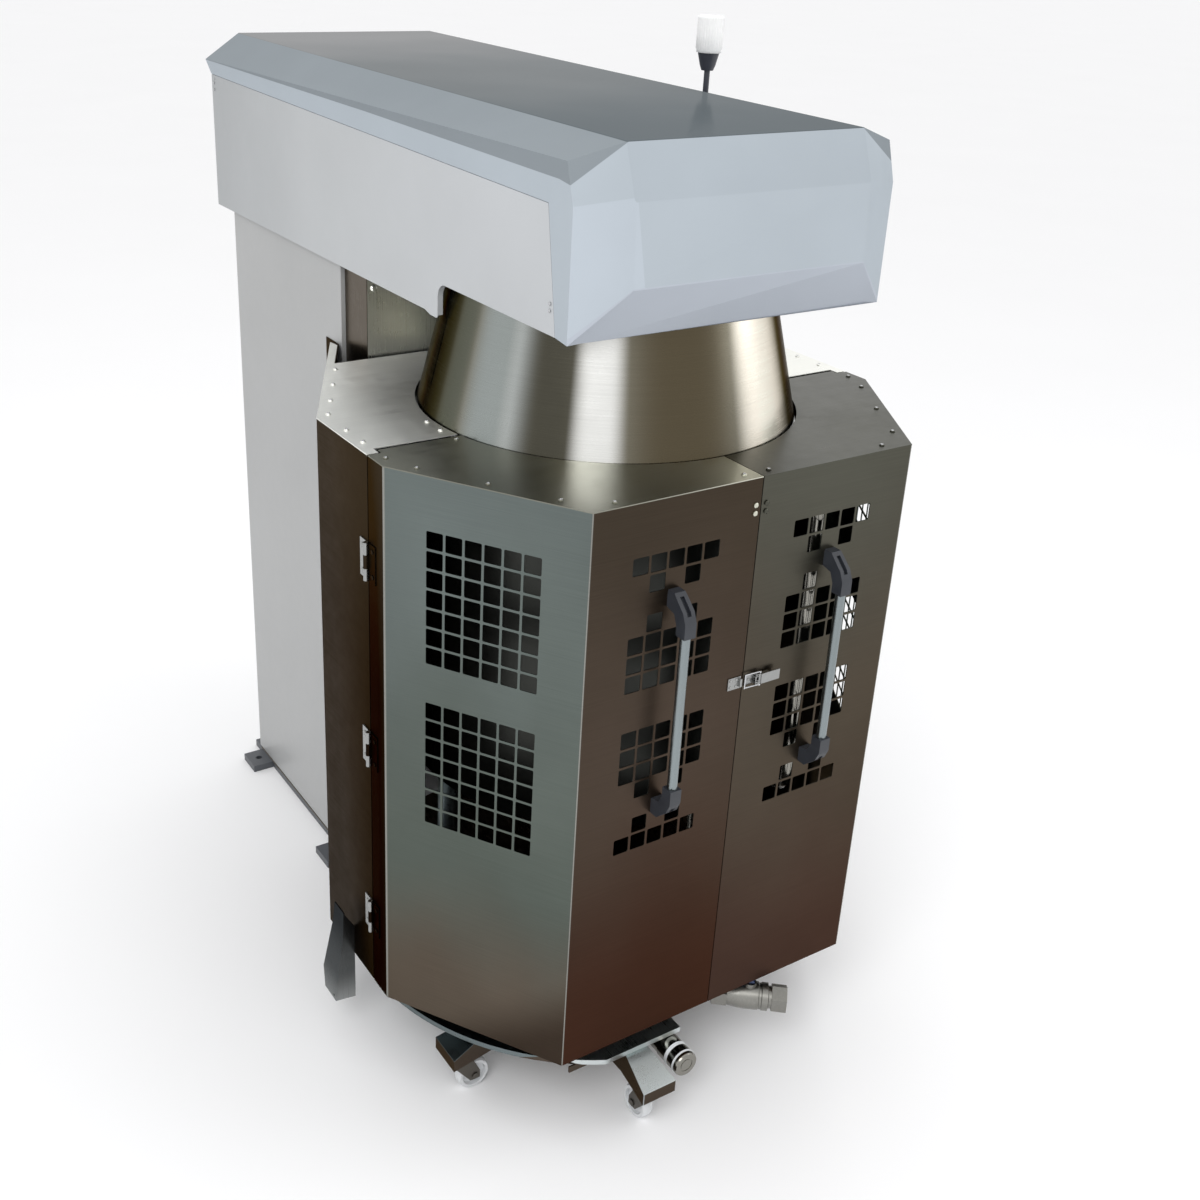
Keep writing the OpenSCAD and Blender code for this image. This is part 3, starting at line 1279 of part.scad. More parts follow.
// Doors
module door_shell() {
  color("darkgray") difference() {
    union() {
      prism(strip(door_path, sheet_t), cab_bottom, plate_z);
      prism(strip(door_face_path, lip_w), cab_bottom, cab_bottom + sheet_t);
      prism(strip(door_face_path, lip_w), plate_z - sheet_t, plate_z);
    }
    front_vents();
    diagonal_vents();
  }
  door_leaves();
}
module door_shell_left() { mirror([1, 0, 0]) door_shell(); }
module door_shell_right() { door_shell(); }

seam_screw_drop = 55;
door_screws = concat(
  edge_screws([seam_half, -cab_front], [front_half_w, -cab_front], [0.072, 0.84]),
  edge_screws([front_half_w, -cab_front], [cab_half_w, -side_corner_front], [0.17, 0.51, 0.86]),
  edge_screws([cab_half_w, -side_corner_front], [cab_half_w, -seam_y], [0.5]),
  [[opening_r + screw_r * 2, -slot_y - slot_w * 2.2]]
);
module door_top() {
  color("silver") difference() {
    prism([
      [seam_half / 2, -cab_front], [front_half_w, -cab_front], [cab_half_w, -side_corner_front],
      [cab_half_w, -seam_y - seam_half], [dogleg_x, -seam_y - seam_half], [dogleg_x, -plate_edge_y],
      [seam_half / 2, -plate_edge_y]
    ], plate_z, cab_top);
    translate([0, 0, plate_z - cut]) cylinder(h = sheet_t + 2 * cut, r = opening_r);
  }
  color("gray") {
    for (p = door_screws) translate([p[0], p[1], cab_top]) screw_head();
    for (drop = [1, 1.3])
      translate([screw_r * 2.5, -cab_front - screw_h / 4, cab_top - seam_screw_drop * drop])
        rotate([90, 0, 0]) screw_head();
  }
}
module door_top_left() { mirror([1, 0, 0]) door_top(); }
module door_top_right() { door_top(); }

// Handles. The end piece's outline runs from the panel out to the tube; its sloping face has a screw recess
foot_z = cab_top - handle_drop;
end_half = 13;
end_drop = 62;
handle_mid = foot_z - handle_pitch / 2;
module handle_end() {
  y_face = -cab_front;
  y_tube = -cab_front - handle_off;
  out = handle_r * 1.3;
  low = foot_z - end_drop;
  outline = [
    [y_face, foot_z + end_half * 1.3], [y_face - handle_off * 0.42, foot_z + end_half * 1.3],
    [y_tube - out * 0.3, foot_z - end_drop * 0.18], [y_tube - out, foot_z - end_drop * 0.52],
    [y_tube - out, low], [y_tube + out, low], [y_tube + out, low + end_drop * 0.32],
    [y_tube + out * 1.7, foot_z - end_drop * 0.36], [y_face, foot_z - end_half * 1.3]
  ];
  slot_from = [y_face - handle_off * 0.55, foot_z + end_half * 0.75];
  slot_to = [y_tube - out * 0.55, foot_z - end_drop * 0.3];
  along = slot_to - slot_from;
  color("dimgray") translate([handle_x, 0, 0]) difference() {
    intersection() {
      side_profile(outline, -end_half, end_half);
      front_profile([
        [-end_half * 0.85, foot_z + end_half * 2], [end_half * 0.85, foot_z + end_half * 2],
        [end_half, foot_z + end_half * 0.6], [end_half, low - cut], [-end_half, low - cut],
        [-end_half, foot_z + end_half * 0.6]
      ], y_tube - out - cut, y_face);
    }
    translate([0, slot_from[0], slot_from[1]]) rotate([atan2(along[1], along[0]) - 180, 0, 0])
      translate([-end_half * 0.35, -norm(along), -handle_r * 0.6]) cube([end_half * 0.7, norm(along), handle_r * 2]);
    translate([0, y_tube, low - cut]) cylinder(h = end_drop * 0.2, r = handle_r);
  }
}
module handle_ends() {
  handle_end();
  translate([0, 0, 2 * handle_mid]) mirror([0, 0, 1]) handle_end();
}
module handle_tube() {
  seat = end_drop - end_drop * 0.2 + cut;
  color("silver") translate([handle_x, -cab_front - handle_off, foot_z - handle_pitch + seat])
    cylinder(h = handle_pitch - 2 * seat, r = handle_r);
}
module handle_left() { mirror([1, 0, 0]) handle_ends(); }
module handle_right() { handle_ends(); }
module handle_tubes_left() { mirror([1, 0, 0]) handle_tube(); }
module handle_tubes_right() { handle_tube(); }

// Toggle latch
latch_z = cab_top - latch_drop;
latch_t = 2;
wire_r = 1.5;
pin_off = 8;
loop_off = 6;
pin_x = 28;
loop_arm = 10;
keeper_w = 31;
nose_t = 5;
nose_x = -6;
web_t = 1;
latch_y = -cab_front - pin_off;
loop_y = -cab_front - loop_off;
// Half height of the lever's hollow, and its depth ahead of and behind the pin
hollow = latch_half - latch_t;
lever_front = 3;
lever_back = 4;
module small_screw(x) {
  translate([x, -cab_front - latch_t, 0]) rotate([90, 0, 0]) scale(0.6) screw_head();
}
module latch_keeper() {
  half = latch_half + latch_t;
  color("silver") translate([0, 0, latch_z]) {
    slab([nose_x - keeper_w, nose_x], [-cab_front - latch_t, -cab_front], [-half, half]);
    slab([nose_x - nose_t, nose_x], [-cab_front - latch_t - nose_t, -cab_front - latch_t], [-half, half] * 0.68);
    for (x = [0.36, 0.8], z = [-1, 1]) translate([0, 0, z * half * 0.55]) small_screw(nose_x - keeper_w * x);
  }
}
module latch_base() {
  ear = hollow - wire_r - gap / 3;
  foot_x = nose_t - web_t;
  color("silver") translate([0, 0, latch_z]) {
    slab([foot_x, pin_x + loop_arm * 1.4], [-cab_front - latch_t, -cab_front], [-latch_half, latch_half]);
    for (side = [-1, 1]) translate([0, 0, side * (ear - latch_t / 2)])
      slab([pin_x - lever_back, pin_x + lever_back], [latch_y - lever_front, -cab_front - latch_t],
        [-latch_t / 2, latch_t / 2]);
    translate([pin_x, latch_y, -latch_half - web_t]) cylinder(h = 2 * (latch_half + web_t), r = wire_r, $fn = 24);
    small_screw(pin_x / 2);
  }
}
module latch_lever() {
  front = latch_y - lever_front;
  plate_x = pin_x + loop_arm;
  color("silver") translate([0, 0, latch_z]) difference() {
    union() {
      slab([pin_x - lever_front, pin_x + latch_lever_l * 0.55], [front, latch_y + lever_back],
        [-latch_half, latch_half]);
      slab([plate_x, pin_x + latch_lever_l], [front - latch_t, front], [-latch_half, latch_half]);
    }
    slab([pin_x - lever_back, pin_x + latch_lever_l], [front + web_t, latch_y + lever_back + cut], [-hollow, hollow]);
    slab([pin_x - lever_back, pin_x + lever_back + web_t], [front - cut, latch_y + lever_back + cut],
      [-hollow, hollow]);
    for (x = [pin_x, plate_x]) translate([x, latch_y, -2 * latch_half])
      cylinder(h = 4 * latch_half, r = wire_r + fit, $fn = 24);
  }
}
module latch_loop() {
  half = latch_half + wire_r * 2 + gap;
  bar_x = seam_half;
  rise = loop_y - latch_y;
  run = pin_x + loop_arm - bar_x;
  color("gainsboro") translate([0, 0, latch_z]) {
    for (side = [-1, 1]) translate([pin_x + loop_arm, latch_y, side * half]) {
      cylinder(h = 2 * wire_r, r = wire_r * 1.6, center = true, $fn = 24);
      rotate([0, 0, 180 - atan2(rise, run)]) rotate([0, 90, 0])
        cylinder(h = norm([rise, run]), r = wire_r, $fn = 24);
      translate([0, 0, side > 0 ? hollow - half : 0]) cylinder(h = half - hollow, r = wire_r, $fn = 24);
    }
    translate([bar_x, loop_y, -half - wire_r]) cylinder(h = 2 * (half + wire_r), r = wire_r, $fn = 24);
  }
}

// Signal lamp on the right chamfer
chamfer = hood_half(0);
lamp_normal = unit(cross(chamfer[4] - chamfer[0], chamfer[10] - chamfer[0]));
lamp_offset = [lamp_x, lamp_y, 0] - [chamfer[0][0], chamfer[0][1], 0];
lamp_foot_z = chamfer[0][2] - (lamp_normal * lamp_offset) / lamp_normal[2];
cup_z = cab_top + cup_rise;
cup_h = 36;
module lamp_stem() {
  cup = [[0, 0], [lens_r * 0.45, 0], [lens_r * 0.6, cup_h * 0.3], [lens_r * 0.82, cup_h], [0, cup_h]];
  color("dimgray") translate([lamp_x, lamp_y, 0]) {
    translate([0, 0, lamp_foot_z]) rotate(a = acos(lamp_normal[2]), v = cross([0, 0, 1], lamp_normal))
      cylinder(h = lens_r * 0.2, r = lens_r * 0.9);
    translate([0, 0, lamp_foot_z + lens_r * 0.15]) cylinder(h = cup_z - lamp_foot_z, r = lens_r * 0.22);
    translate([0, 0, cup_z]) rotate_extrude() polygon(cup);
  }
}
module lamp_lens() {
  lens = [[0, 0], [lens_r, 0], [lens_r, lens_h * 0.9], [lens_r * 0.9, lens_h], [0, lens_h]];
  color("mistyrose") translate([lamp_x, lamp_y, cup_z + cup_h]) rotate_extrude() polygon(lens);
}

base_plate();
column_shell();
guide_rails();
lift_cylinder();
cabinet_rear_walls();
cabinet_rear_top();
side_brackets();
hinge_fixed_leaves();
hinge_pins();
trolley_frame();
bowl();
jacket();
rim_gasket();
jacket_pipes();
outlet_pipe();
outlet_seals();
outlet_cap();
valve_body();
valve_lever();
fork_front();
fork_left();
fork_right();
fork_rear();
wheel_front();
wheel_left();
wheel_right();
wheel_rear();
hood();
side_panel_left();
side_panel_right();
head_frame();
carriage();
mast_cover();
lift_rod();
cone_shroud();
gearbox_housing();
sun_gear();
motor();
drive_belt();
lamp_stem();
lamp_lens();
planet_carrier();
main_shaft();
scraper_arm();
scraper_blade();
beater_left();
beater_right();
motor_pulley();
door_shell_left();
door_shell_right();
door_top_left();
door_top_right();
handle_left();
handle_right();
handle_tubes_left();
handle_tubes_right();
latch_keeper();
latch_base();
latch_lever();
latch_loop();
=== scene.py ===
"""Planetary mixer: finishes, fine pieces, floor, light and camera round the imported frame."""

import logging
import math
from dataclasses import dataclass, field
from enum import Enum

import bmesh
import bpy
import numpy as np
from mathutils import Matrix, Vector


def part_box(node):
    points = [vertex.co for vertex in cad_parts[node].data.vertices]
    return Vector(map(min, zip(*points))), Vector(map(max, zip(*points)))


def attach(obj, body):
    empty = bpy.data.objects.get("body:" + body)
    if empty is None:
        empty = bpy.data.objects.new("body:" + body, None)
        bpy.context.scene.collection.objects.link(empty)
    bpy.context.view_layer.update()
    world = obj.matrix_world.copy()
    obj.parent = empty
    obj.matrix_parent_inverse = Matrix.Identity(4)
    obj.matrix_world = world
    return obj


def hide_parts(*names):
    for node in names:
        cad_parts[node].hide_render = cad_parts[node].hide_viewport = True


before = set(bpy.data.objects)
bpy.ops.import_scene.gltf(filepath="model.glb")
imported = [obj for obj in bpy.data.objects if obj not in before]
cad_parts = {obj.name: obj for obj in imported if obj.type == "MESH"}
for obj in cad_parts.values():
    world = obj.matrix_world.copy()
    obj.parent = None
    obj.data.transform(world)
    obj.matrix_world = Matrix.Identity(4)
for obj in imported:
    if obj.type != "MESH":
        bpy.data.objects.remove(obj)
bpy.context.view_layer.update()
log = logging.getLogger("mixer")


# ---------------------------------------------------------------- shader nodes

def linear(code: str) -> tuple[float, float, float, float]:
    """Turn a hexadecimal screen colour into linear light.

    Args:
        code: six hexadecimal digits, such as "6b6a60".

    Returns:
        Red, green, blue and an alpha of 1. Each channel c is ((c + 0.055) / 1.055) to the 2.4.
    """
    parts = [int(code[i:i + 2], 16) / 255 for i in (0, 2, 4)]
    return tuple(c / 12.92 if c <= 0.04045 else ((c + 0.055) / 1.055) ** 2.4 for c in parts) + (1.0,)


class Shader:
    """A material's node tree with short calls for the nodes that the finishes share."""

    def __init__(self, name: str) -> None:
        """Start an empty material with a Principled surface.

        Args:
            name: the material's name.
        """
        self.material = bpy.data.materials.new(name)
        self.material.use_nodes = True
        self.tree = self.material.node_tree
        self.tree.nodes.clear()
        self.out = self.tree.nodes.new("ShaderNodeOutputMaterial")
        self.surface = self.tree.nodes.new("ShaderNodeBsdfPrincipled")
        self.tree.links.new(self.surface.outputs["BSDF"], self.out.inputs["Surface"])
        self.place = self.tree.nodes.new("ShaderNodeTexCoord").outputs["Object"]

    def set(self, socket: str, value: object) -> None:
        """Set a constant on the Principled shader itself."""
        self.surface.inputs[socket].default_value = value

    def join(self, source: object, socket: str) -> None:
        """Link an output to one of the Principled shader's sockets."""
        self.tree.links.new(source, self.surface.inputs[socket])

    def stretched(self, scale: tuple[float, float, float]) -> object:
        """Object coordinates multiplied by a scale for each axis."""
        node = self.tree.nodes.new("ShaderNodeMapping")
        node.inputs["Scale"].default_value = scale
        self.tree.links.new(self.place, node.inputs["Vector"])
        return node.outputs["Vector"]

    def noise(self, vector: object, scale: float, detail: float = 3.0, rough: float = 0.55) -> object:
        """Fractal noise between about 0.3 and 0.7."""
        node = self.tree.nodes.new("ShaderNodeTexNoise")
        node.inputs["Scale"].default_value = scale
        node.inputs["Detail"].default_value = detail
        node.inputs["Roughness"].default_value = rough
        self.tree.links.new(vector, node.inputs["Vector"])
        return node.outputs["Fac"]

    def remap(self, value: object, low: float, high: float, to_low: float, to_high: float,
              smooth: bool = False) -> object:
        """Carry a value from one range into another, clamped at both ends."""
        node = self.tree.nodes.new("ShaderNodeMapRange")
        node.interpolation_type = "SMOOTHSTEP" if smooth else "LINEAR"
        for socket, number in zip(("From Min", "From Max", "To Min", "To Max"), (low, high, to_low, to_high)):
            node.inputs[socket].default_value = number
        self.tree.links.new(value, node.inputs["Value"])
        return node.outputs["Result"]

    def even(self, grain: "Speckle") -> object:
        """Noise of the same size in every direction."""
        return self.noise(self.place, grain.scale, grain.detail, grain.rough)

    def spread(self, value: object, to_low: float, to_high: float) -> object:
        """Carry a noise's usual range, NOISE_LOW to NOISE_HIGH, into another range."""
        return self.remap(value, NOISE_LOW, NOISE_HIGH, to_low, to_high)

    def zoned(self, colour: object, zones: "tuple[Zone, ...]") -> object:
        """Lay the tones of zones over a colour, one after the other."""
        for zone in zones:
            low, high = zone.start - zone.soft, zone.start + zone.soft
            mask = self.remap(self.dot(zone.toward), low, high, 0.0, 1.0, True)
            colour = self.mix(mask, colour, self.tint(zone.colour))
        return colour

    def maths(self, kind: str, a: object, b: object) -> object:
        """One arithmetic node; each operand is an output or a number."""
        node = self.tree.nodes.new("ShaderNodeMath")
        node.operation = kind
        for socket, operand in zip(node.inputs, (a, b)):
            if isinstance(operand, (int, float)):
                socket.default_value = operand
            else:
                self.tree.links.new(operand, socket)
        return node.outputs["Value"]

    def dot(self, direction: tuple[float, float, float]) -> object:
        """Distance of a point along a direction."""
        node = self.tree.nodes.new("ShaderNodeVectorMath")
        node.operation = "DOT_PRODUCT"
        self.tree.links.new(self.place, node.inputs[0])
        node.inputs[1].default_value = direction
        return node.outputs["Value"]

    def mix(self, share: object, a: object, b: object) -> object:
        """Blend two colours; each is an output or four numbers."""
        node = self.tree.nodes.new("ShaderNodeMix")
        node.data_type = "RGBA"
        self.tree.links.new(share, node.inputs["Factor"])
        for socket, colour in ((node.inputs[6], a), (node.inputs[7], b)):
            if isinstance(colour, tuple):
                socket.default_value = colour
            else:
                self.tree.links.new(colour, socket)
        return node.outputs[2]

    def tint(self, colour: object) -> object:
        """Colour of a finish: a code gives a constant, Tones give a blend that changes with height."""
        if isinstance(colour, str):
            return linear(colour)
        drift = self.spread(self.noise(self.stretched(colour.stretch), 1.0, 2.0), -colour.drift, colour.drift)
        height = self.maths("ADD", self.dot(colour.toward), drift)
        rise = self.remap(height, colour.start, colour.turn, 0.0, 1.0, True)
        lower = self.mix(rise, linear(colour.low), linear(colour.middle))
        rise = self.remap(height, colour.turn, colour.end, 0.0, 1.0, True)
        return self.mix(rise, lower, linear(colour.high))

    def bearing(self, angle: float) -> object:
        """Cosine of the angle between a point's bearing about the Z axis and a given bearing.

        Args:
            angle: the bearing in degrees, counted from +X towards +Y.

        Returns:
            The dot product of the point's level unit vector and the bearing's.
        """
        flat = self.tree.nodes.new("ShaderNodeVectorMath")
        flat.operation = "MULTIPLY"
        flat.inputs[1].default_value = (1.0, 1.0, 0.0)
        self.tree.links.new(self.place, flat.inputs[0])
        unit = self.tree.nodes.new("ShaderNodeVectorMath")
        unit.operation = "NORMALIZE"
        self.tree.links.new(flat.outputs["Vector"], unit.inputs[0])
        node = self.tree.nodes.new("ShaderNodeVectorMath")
        node.operation = "DOT_PRODUCT"
        self.tree.links.new(unit.outputs["Vector"], node.inputs[0])
        node.inputs[1].default_value = (math.cos(math.radians(angle)), math.sin(math.radians(angle)), 0.0)
        return node.outputs["Value"]

    def shade(self, colour: object, share: object) -> object:
        """Multiply a colour by a grey value."""
        node = self.tree.nodes.new("ShaderNodeVectorMath")
        node.operation = "SCALE"
        if isinstance(colour, tuple):
            node.inputs[0].default_value = colour[:3]
        else:
            self.tree.links.new(colour, node.inputs[0])
        self.tree.links.new(share, node.inputs["Scale"])
        return node.outputs["Vector"]

    def bump(self, height: object, depth: float, strength: float = 1.0) -> None:
        """Raise the surface by a height map, depth in metres."""
        node = self.tree.nodes.new("ShaderNodeBump")
        node.inputs["Strength"].default_value = strength
        node.inputs["Distance"].default_value = depth
        self.tree.links.new(height, node.inputs["Height"])
        self.tree.links.new(node.outputs["Normal"], self.surface.inputs["Normal"])


# ---------------------------------------------------------------- finishes

@dataclass(frozen=True)
class Speckle:
    """Size and detail of an even noise."""

    scale: float
    detail: float = 3.0
    rough: float = 0.55


# The middle nine tenths of a fractal noise lie between these values
NOISE_LOW = 0.3
NOISE_HIGH = 0.7
# The same for the finer brush noise
LINES_LOW = 0.25
LINES_HIGH = 0.75
# Depths of brush lines and of orange peel as bump, and how strongly each bump shows
LINE_DEPTH = 0.00004
LINE_STRENGTH = 0.35
PEEL_STRENGTH = 0.4
GRAIN_STRENGTH = 0.5
PIT_STRENGTH = 0.4
SHEET_ANISOTROPY = 0.35
COAT_ROUGHNESS = 0.12
LENS_IOR = 1.49

SHEET_CLOUDS = Speckle(2.2, 3.0, 0.5)
SHEET_SMEARS = Speckle(26.0, 4.0, 0.6)
PAINT_CLOUDS = Speckle(3.0)
PAINT_PEEL = Speckle(420.0, 2.0)
PAINT_DUST = Speckle(38.0, 5.0, 0.65)
HANDLING_WEAR = Speckle(30.0, 5.0, 0.6)
CASTING_PITS = Speckle(260.0, 4.0, 0.6)
CASTING_STAINS = Speckle(14.0, 4.0)
LENS_HAZE = Speckle(120.0, 4.0)
FLOOR_CLOUDS = Speckle(0.8)


class Grain(Enum):
    """Which way the brush ran over a sheet."""

    ALONG_X = (4.0, 900.0, 900.0)
    ALONG_Y = (900.0, 4.0, 900.0)
    LEVEL = (5.0, 5.0, 900.0)
    UPRIGHT = (900.0, 900.0, 4.0)


@dataclass(frozen=True)
class Tones:
    """Three tones that follow each other along a direction, with a border that wanders by drift metres."""

    low: str
    middle: str
    high: str
    start: float = 0.25
    turn: float = 0.85
    end: float = 1.45
    drift: float = 0.10
    toward: tuple[float, float, float] = (0.0, 0.0, 1.0)
    stretch: tuple[float, float, float] = (2.2, 2.2, 0.9)


@dataclass(frozen=True)
class Zone:
    """A part of a sheet that shows another tone: where the dot product with toward exceeds start."""

    toward: tuple[float, float, float]
    start: float
    colour: object
    soft: float = 0.0008


@dataclass(frozen=True)
class PaintedReflectionBand:
    """An upright band of painted reflection on a turned sheet, bright for a painted highlight and dark for a
    painted dark reflection, centred on a bearing in degrees and fading over half its width.
    """

    bearing: float
    width: float
    colour: str
    share: float = 1.0


@dataclass(frozen=True)
class BrushedSheet:
    """Stainless sheet with fine brush lines, faint clouds and slightly uneven gloss."""

    name: str
    colour: object
    grain: Grain = Grain.LEVEL
    roughness: float = 0.33
    streaks: float = 0.10
    clouds: float = 0.14
    zones: tuple[Zone, ...] = ()
    reflection_bands: tuple[PaintedReflectionBand, ...] = ()
    rim: str = "ffffff"

    def material(self) -> bpy.types.Material:
        """Build the node material.

        Returns:
            A metal whose tone is the base colour times (streak noise + cloud noise). The rim colour is
            what it reflects at a grazing angle.
        """
        s = Shader(self.name)
        lines = s.noise(s.stretched(self.grain.value), 1.0, 4.0, 0.6)
        tone = s.maths("ADD", s.remap(lines, LINES_LOW, LINES_HIGH, 1.0 - self.streaks, 1.0 + self.streaks),
                       s.spread(s.even(SHEET_CLOUDS), -self.clouds, self.clouds))
        colour = s.zoned(s.tint(self.colour), self.zones)
        # Painted reflection: bright and dark upright bands at fixed bearings
        for band in self.reflection_bands:
            edge = math.cos(math.radians(band.width / 2))
            mask = s.remap(s.bearing(band.bearing), edge, 1.0, 0.0, band.share, True)
            colour = s.mix(mask, colour, linear(band.colour))
        s.join(s.shade(colour, tone), "Base Color")
        s.set("Metallic", 1.0)
        s.set("Specular Tint", linear(self.rim))
        gloss = s.remap(lines, LINES_LOW, LINES_HIGH, self.roughness - 0.05, self.roughness + 0.06)
        rough = s.maths("ADD", gloss, s.spread(s.even(SHEET_SMEARS), -0.03, 0.03))
        s.join(rough, "Roughness")
        s.set("Anisotropic", SHEET_ANISOTROPY)
        s.bump(lines, LINE_DEPTH, LINE_STRENGTH)
        return s.material


@dataclass(frozen=True)
class Paint:
    """Sprayed paint with a faint orange peel, dust in broad clouds and a clear coat."""

    name: str
    colour: object
    roughness: float = 0.38
    coat: float = 0.25
    peel: float = 0.00003
    zones: tuple[Zone, ...] = ()
    specular: float = 0.5

    def material(self) -> bpy.types.Material:
        """Build the node material: colour times a cloud of 3 percent, roughness varied by fine noise."""
        s = Shader(self.name)
        colour = s.zoned(s.tint(self.colour), self.zones)
        s.join(s.shade(colour, s.spread(s.even(PAINT_CLOUDS), 0.97, 1.03)), "Base Color")
        s.join(s.spread(s.even(PAINT_DUST), self.roughness - 0.02, self.roughness + 0.03), "Roughness")
        s.set("Specular IOR Level", self.specular)
        s.set("Coat Weight", self.coat)
        s.set("Coat Roughness", COAT_ROUGHNESS)
        s.bump(s.even(PAINT_PEEL), self.peel, PEEL_STRENGTH)
        return s.material


@dataclass(frozen=True)
class Moulded:
    """Plastic or rubber with a fine spark-eroded grain."""

    name: str
    colour: str
    roughness: float = 0.5
    grain_size: float = 900.0
    depth: float = 0.00005

    def material(self) -> bpy.types.Material:
        """Build the node material: two noises give mottled tone, gloss and a grain bump."""
        s = Shader(self.name)
        wear = s.even(HANDLING_WEAR)
        s.join(s.shade(linear(self.colour), s.spread(wear, 0.9, 1.12)), "Base Color")
        s.join(s.spread(wear, self.roughness - 0.07, self.roughness + 0.08), "Roughness")
        s.bump(s.even(Speckle(self.grain_size)), self.depth, GRAIN_STRENGTH)
        return s.material


@dataclass(frozen=True)
class CastMetal:
    """Investment-cast or machined steel: fine pits over a satin metal."""

    name: str
    colour: str
    roughness: float = 0.4
    pits: float = 0.0001
    metallic: float = 1.0

    def material(self) -> bpy.types.Material:
        """Build the node material: pit noise for bump and tone, broad noise for stains."""
        s = Shader(self.name)
        pits, stain = s.even(CASTING_PITS), s.even(CASTING_STAINS)
        tone = s.maths("MULTIPLY", s.spread(pits, 0.93, 1.05), s.spread(stain, 0.88, 1.08))
        s.join(s.shade(linear(self.colour), tone), "Base Color")
        s.set("Metallic", self.metallic)
        s.join(s.spread(stain, self.roughness - 0.08, self.roughness + 0.1), "Roughness")
        s.bump(pits, self.pits, PIT_STRENGTH)
        return s.material


@dataclass(frozen=True)
class ClearLens:
    """Clear moulded lens that lets a little light through."""

    name: str
    colour: str
    through: float = 0.35

    def material(self) -> bpy.types.Material:
        """Build the node material: part transmission with a haze of fine scratches."""
        s = Shader(self.name)
        haze = s.even(LENS_HAZE)
        s.join(s.shade(linear(self.colour), s.spread(haze, 0.97, 1.02)), "Base Color")
        s.join(s.spread(haze, 0.14, 0.22), "Roughness")
        s.set("Transmission Weight", self.through)
        s.set("IOR", LENS_IOR)
        return s.material


# ---------------------------------------------------------------- flat faces of the frame

# Triangles of one flat face share a normal and a plane to within these; smaller faces than this share of
# the largest one are passed over; a zone starts a step below its face
SAME_NORMAL = 0.9995
SAME_PLANE = 0.001
SMALL_FACE = 0.02
FACET_STEP = 0.0012


def facet(node: str, aim: tuple[float, float, float], colour: object, soft: float = 0.0004) -> Zone:
    """Zone on the flat face of a convex node that looks most nearly along a direction.

    Of the faces within about 37 degrees of the aim, the one with the largest
    (normal . aim) ** 12 * (1 + area) is taken. The zone is where normal . point exceeds that face's
    distance from the origin less FACET_STEP.

    Args:
        node: the node's name.
        aim: the direction that the face looks in.
        colour: the zone's tone.
        soft: half the width of the border.

    Returns:
        The zone.
    """
    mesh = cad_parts[node].data
    normals = np.empty(len(mesh.polygons) * 3)
    centres = np.empty(len(mesh.polygons) * 3)
    areas = np.empty(len(mesh.polygons))
    mesh.polygons.foreach_get("normal", normals)
    mesh.polygons.foreach_get("center", centres)
    mesh.polygons.foreach_get("area", areas)
    normals, centres = normals.reshape(-1, 3), centres.reshape(-1, 3)
    aim_unit = np.array(aim) / np.linalg.norm(aim)
    facing = normals @ aim_unit
    offsets = np.einsum("ij,ij->i", normals, centres)
    outer = (facing > 0.8) & (areas > areas.max() * SMALL_FACE)
    best = np.flatnonzero(outer)[np.argmax((facing ** 12 * (1 + areas))[outer])]
    same = (normals @ normals[best] > SAME_NORMAL) & (np.abs(offsets - offsets[best]) < SAME_PLANE)
    normal = np.average(normals[same], axis=0, weights=areas[same])
    return Zone(tuple(float(c) for c in normal), float(offsets[best]) - FACET_STEP, colour, soft)


# Tone of the painted highlight along a folded edge
EDGE_HIGHLIGHT = "8f8f8a"


def fold(node: str, toward: tuple[float, float, float], colour: object = EDGE_HIGHLIGHT,
         width: float = 0.0006) -> Zone:
    """Zone of painted highlight on the folded edge of a node that lies farthest along a direction.

    Its start is the largest value of (unit direction . vertex) less the width.

    Args:
        node: the node's name.
        toward: the direction, between the normals of the two faces that meet there.
        colour: the tone of the painted highlight.
        width: depth of the strip along the direction.

    Returns:
        The zone.
    """
    unit = np.array(toward) / np.linalg.norm(toward)
    return Zone(tuple(float(c) for c in unit), float((places(node) @ unit).max()) - width, colour, 0.0003)


def places(node: str) -> np.ndarray:
    """Vertices of a node's mesh.

    Args:
        node: the node's name.

    Returns:
        An array of n by 3 in metres.
    """
    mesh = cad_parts[node].data
    points = np.empty(len(mesh.vertices) * 3)
    mesh.vertices.foreach_get("co", points)
    return points.reshape(-1, 3)


# Vertices within this of the highest one belong to the flat tops of screw heads
TOP_STEP = 0.0002


def head_tops(node: str, reach: float = 0.008) -> list[Vector]:
    """Centres of the upright screw heads that stand highest on a node.

    Args:
        node: the node's name.
        reach: how far a head's top circle spreads.

    Returns:
        One place for each head.
    """
    points = places(node)
    top = points[points[:, 2] > points[:, 2].max() - TOP_STEP]
    found = []
    while len(top):
        near = np.linalg.norm(top - top[0], axis=1) < reach
        found.append(Vector((top[near].min(axis=0) + top[near].max(axis=0)) / 2))
        top = top[~near]
    return found


# ---------------------------------------------------------------- surfaces

# Points closer than this are one point
JOINED = 1e-6


def grid_faces(rows: int, columns: int, wrap: bool) -> np.ndarray:
    """Quads of a grid of points, row by row.

    Args:
        rows: points along the first parameter.
        columns: points along the second parameter.
        wrap: whether the last column joins the first.

    Returns:
        An array of four point numbers for each quad.
    """
    r, c = np.meshgrid(np.arange(rows - 1), np.arange(columns if wrap else columns - 1), indexing="ij")
    n = (c + 1) % columns
    quads = [r * columns + c, r * columns + n, (r + 1) * columns + n, (r + 1) * columns + c]
    return np.stack(quads, -1).reshape(-1, 4)


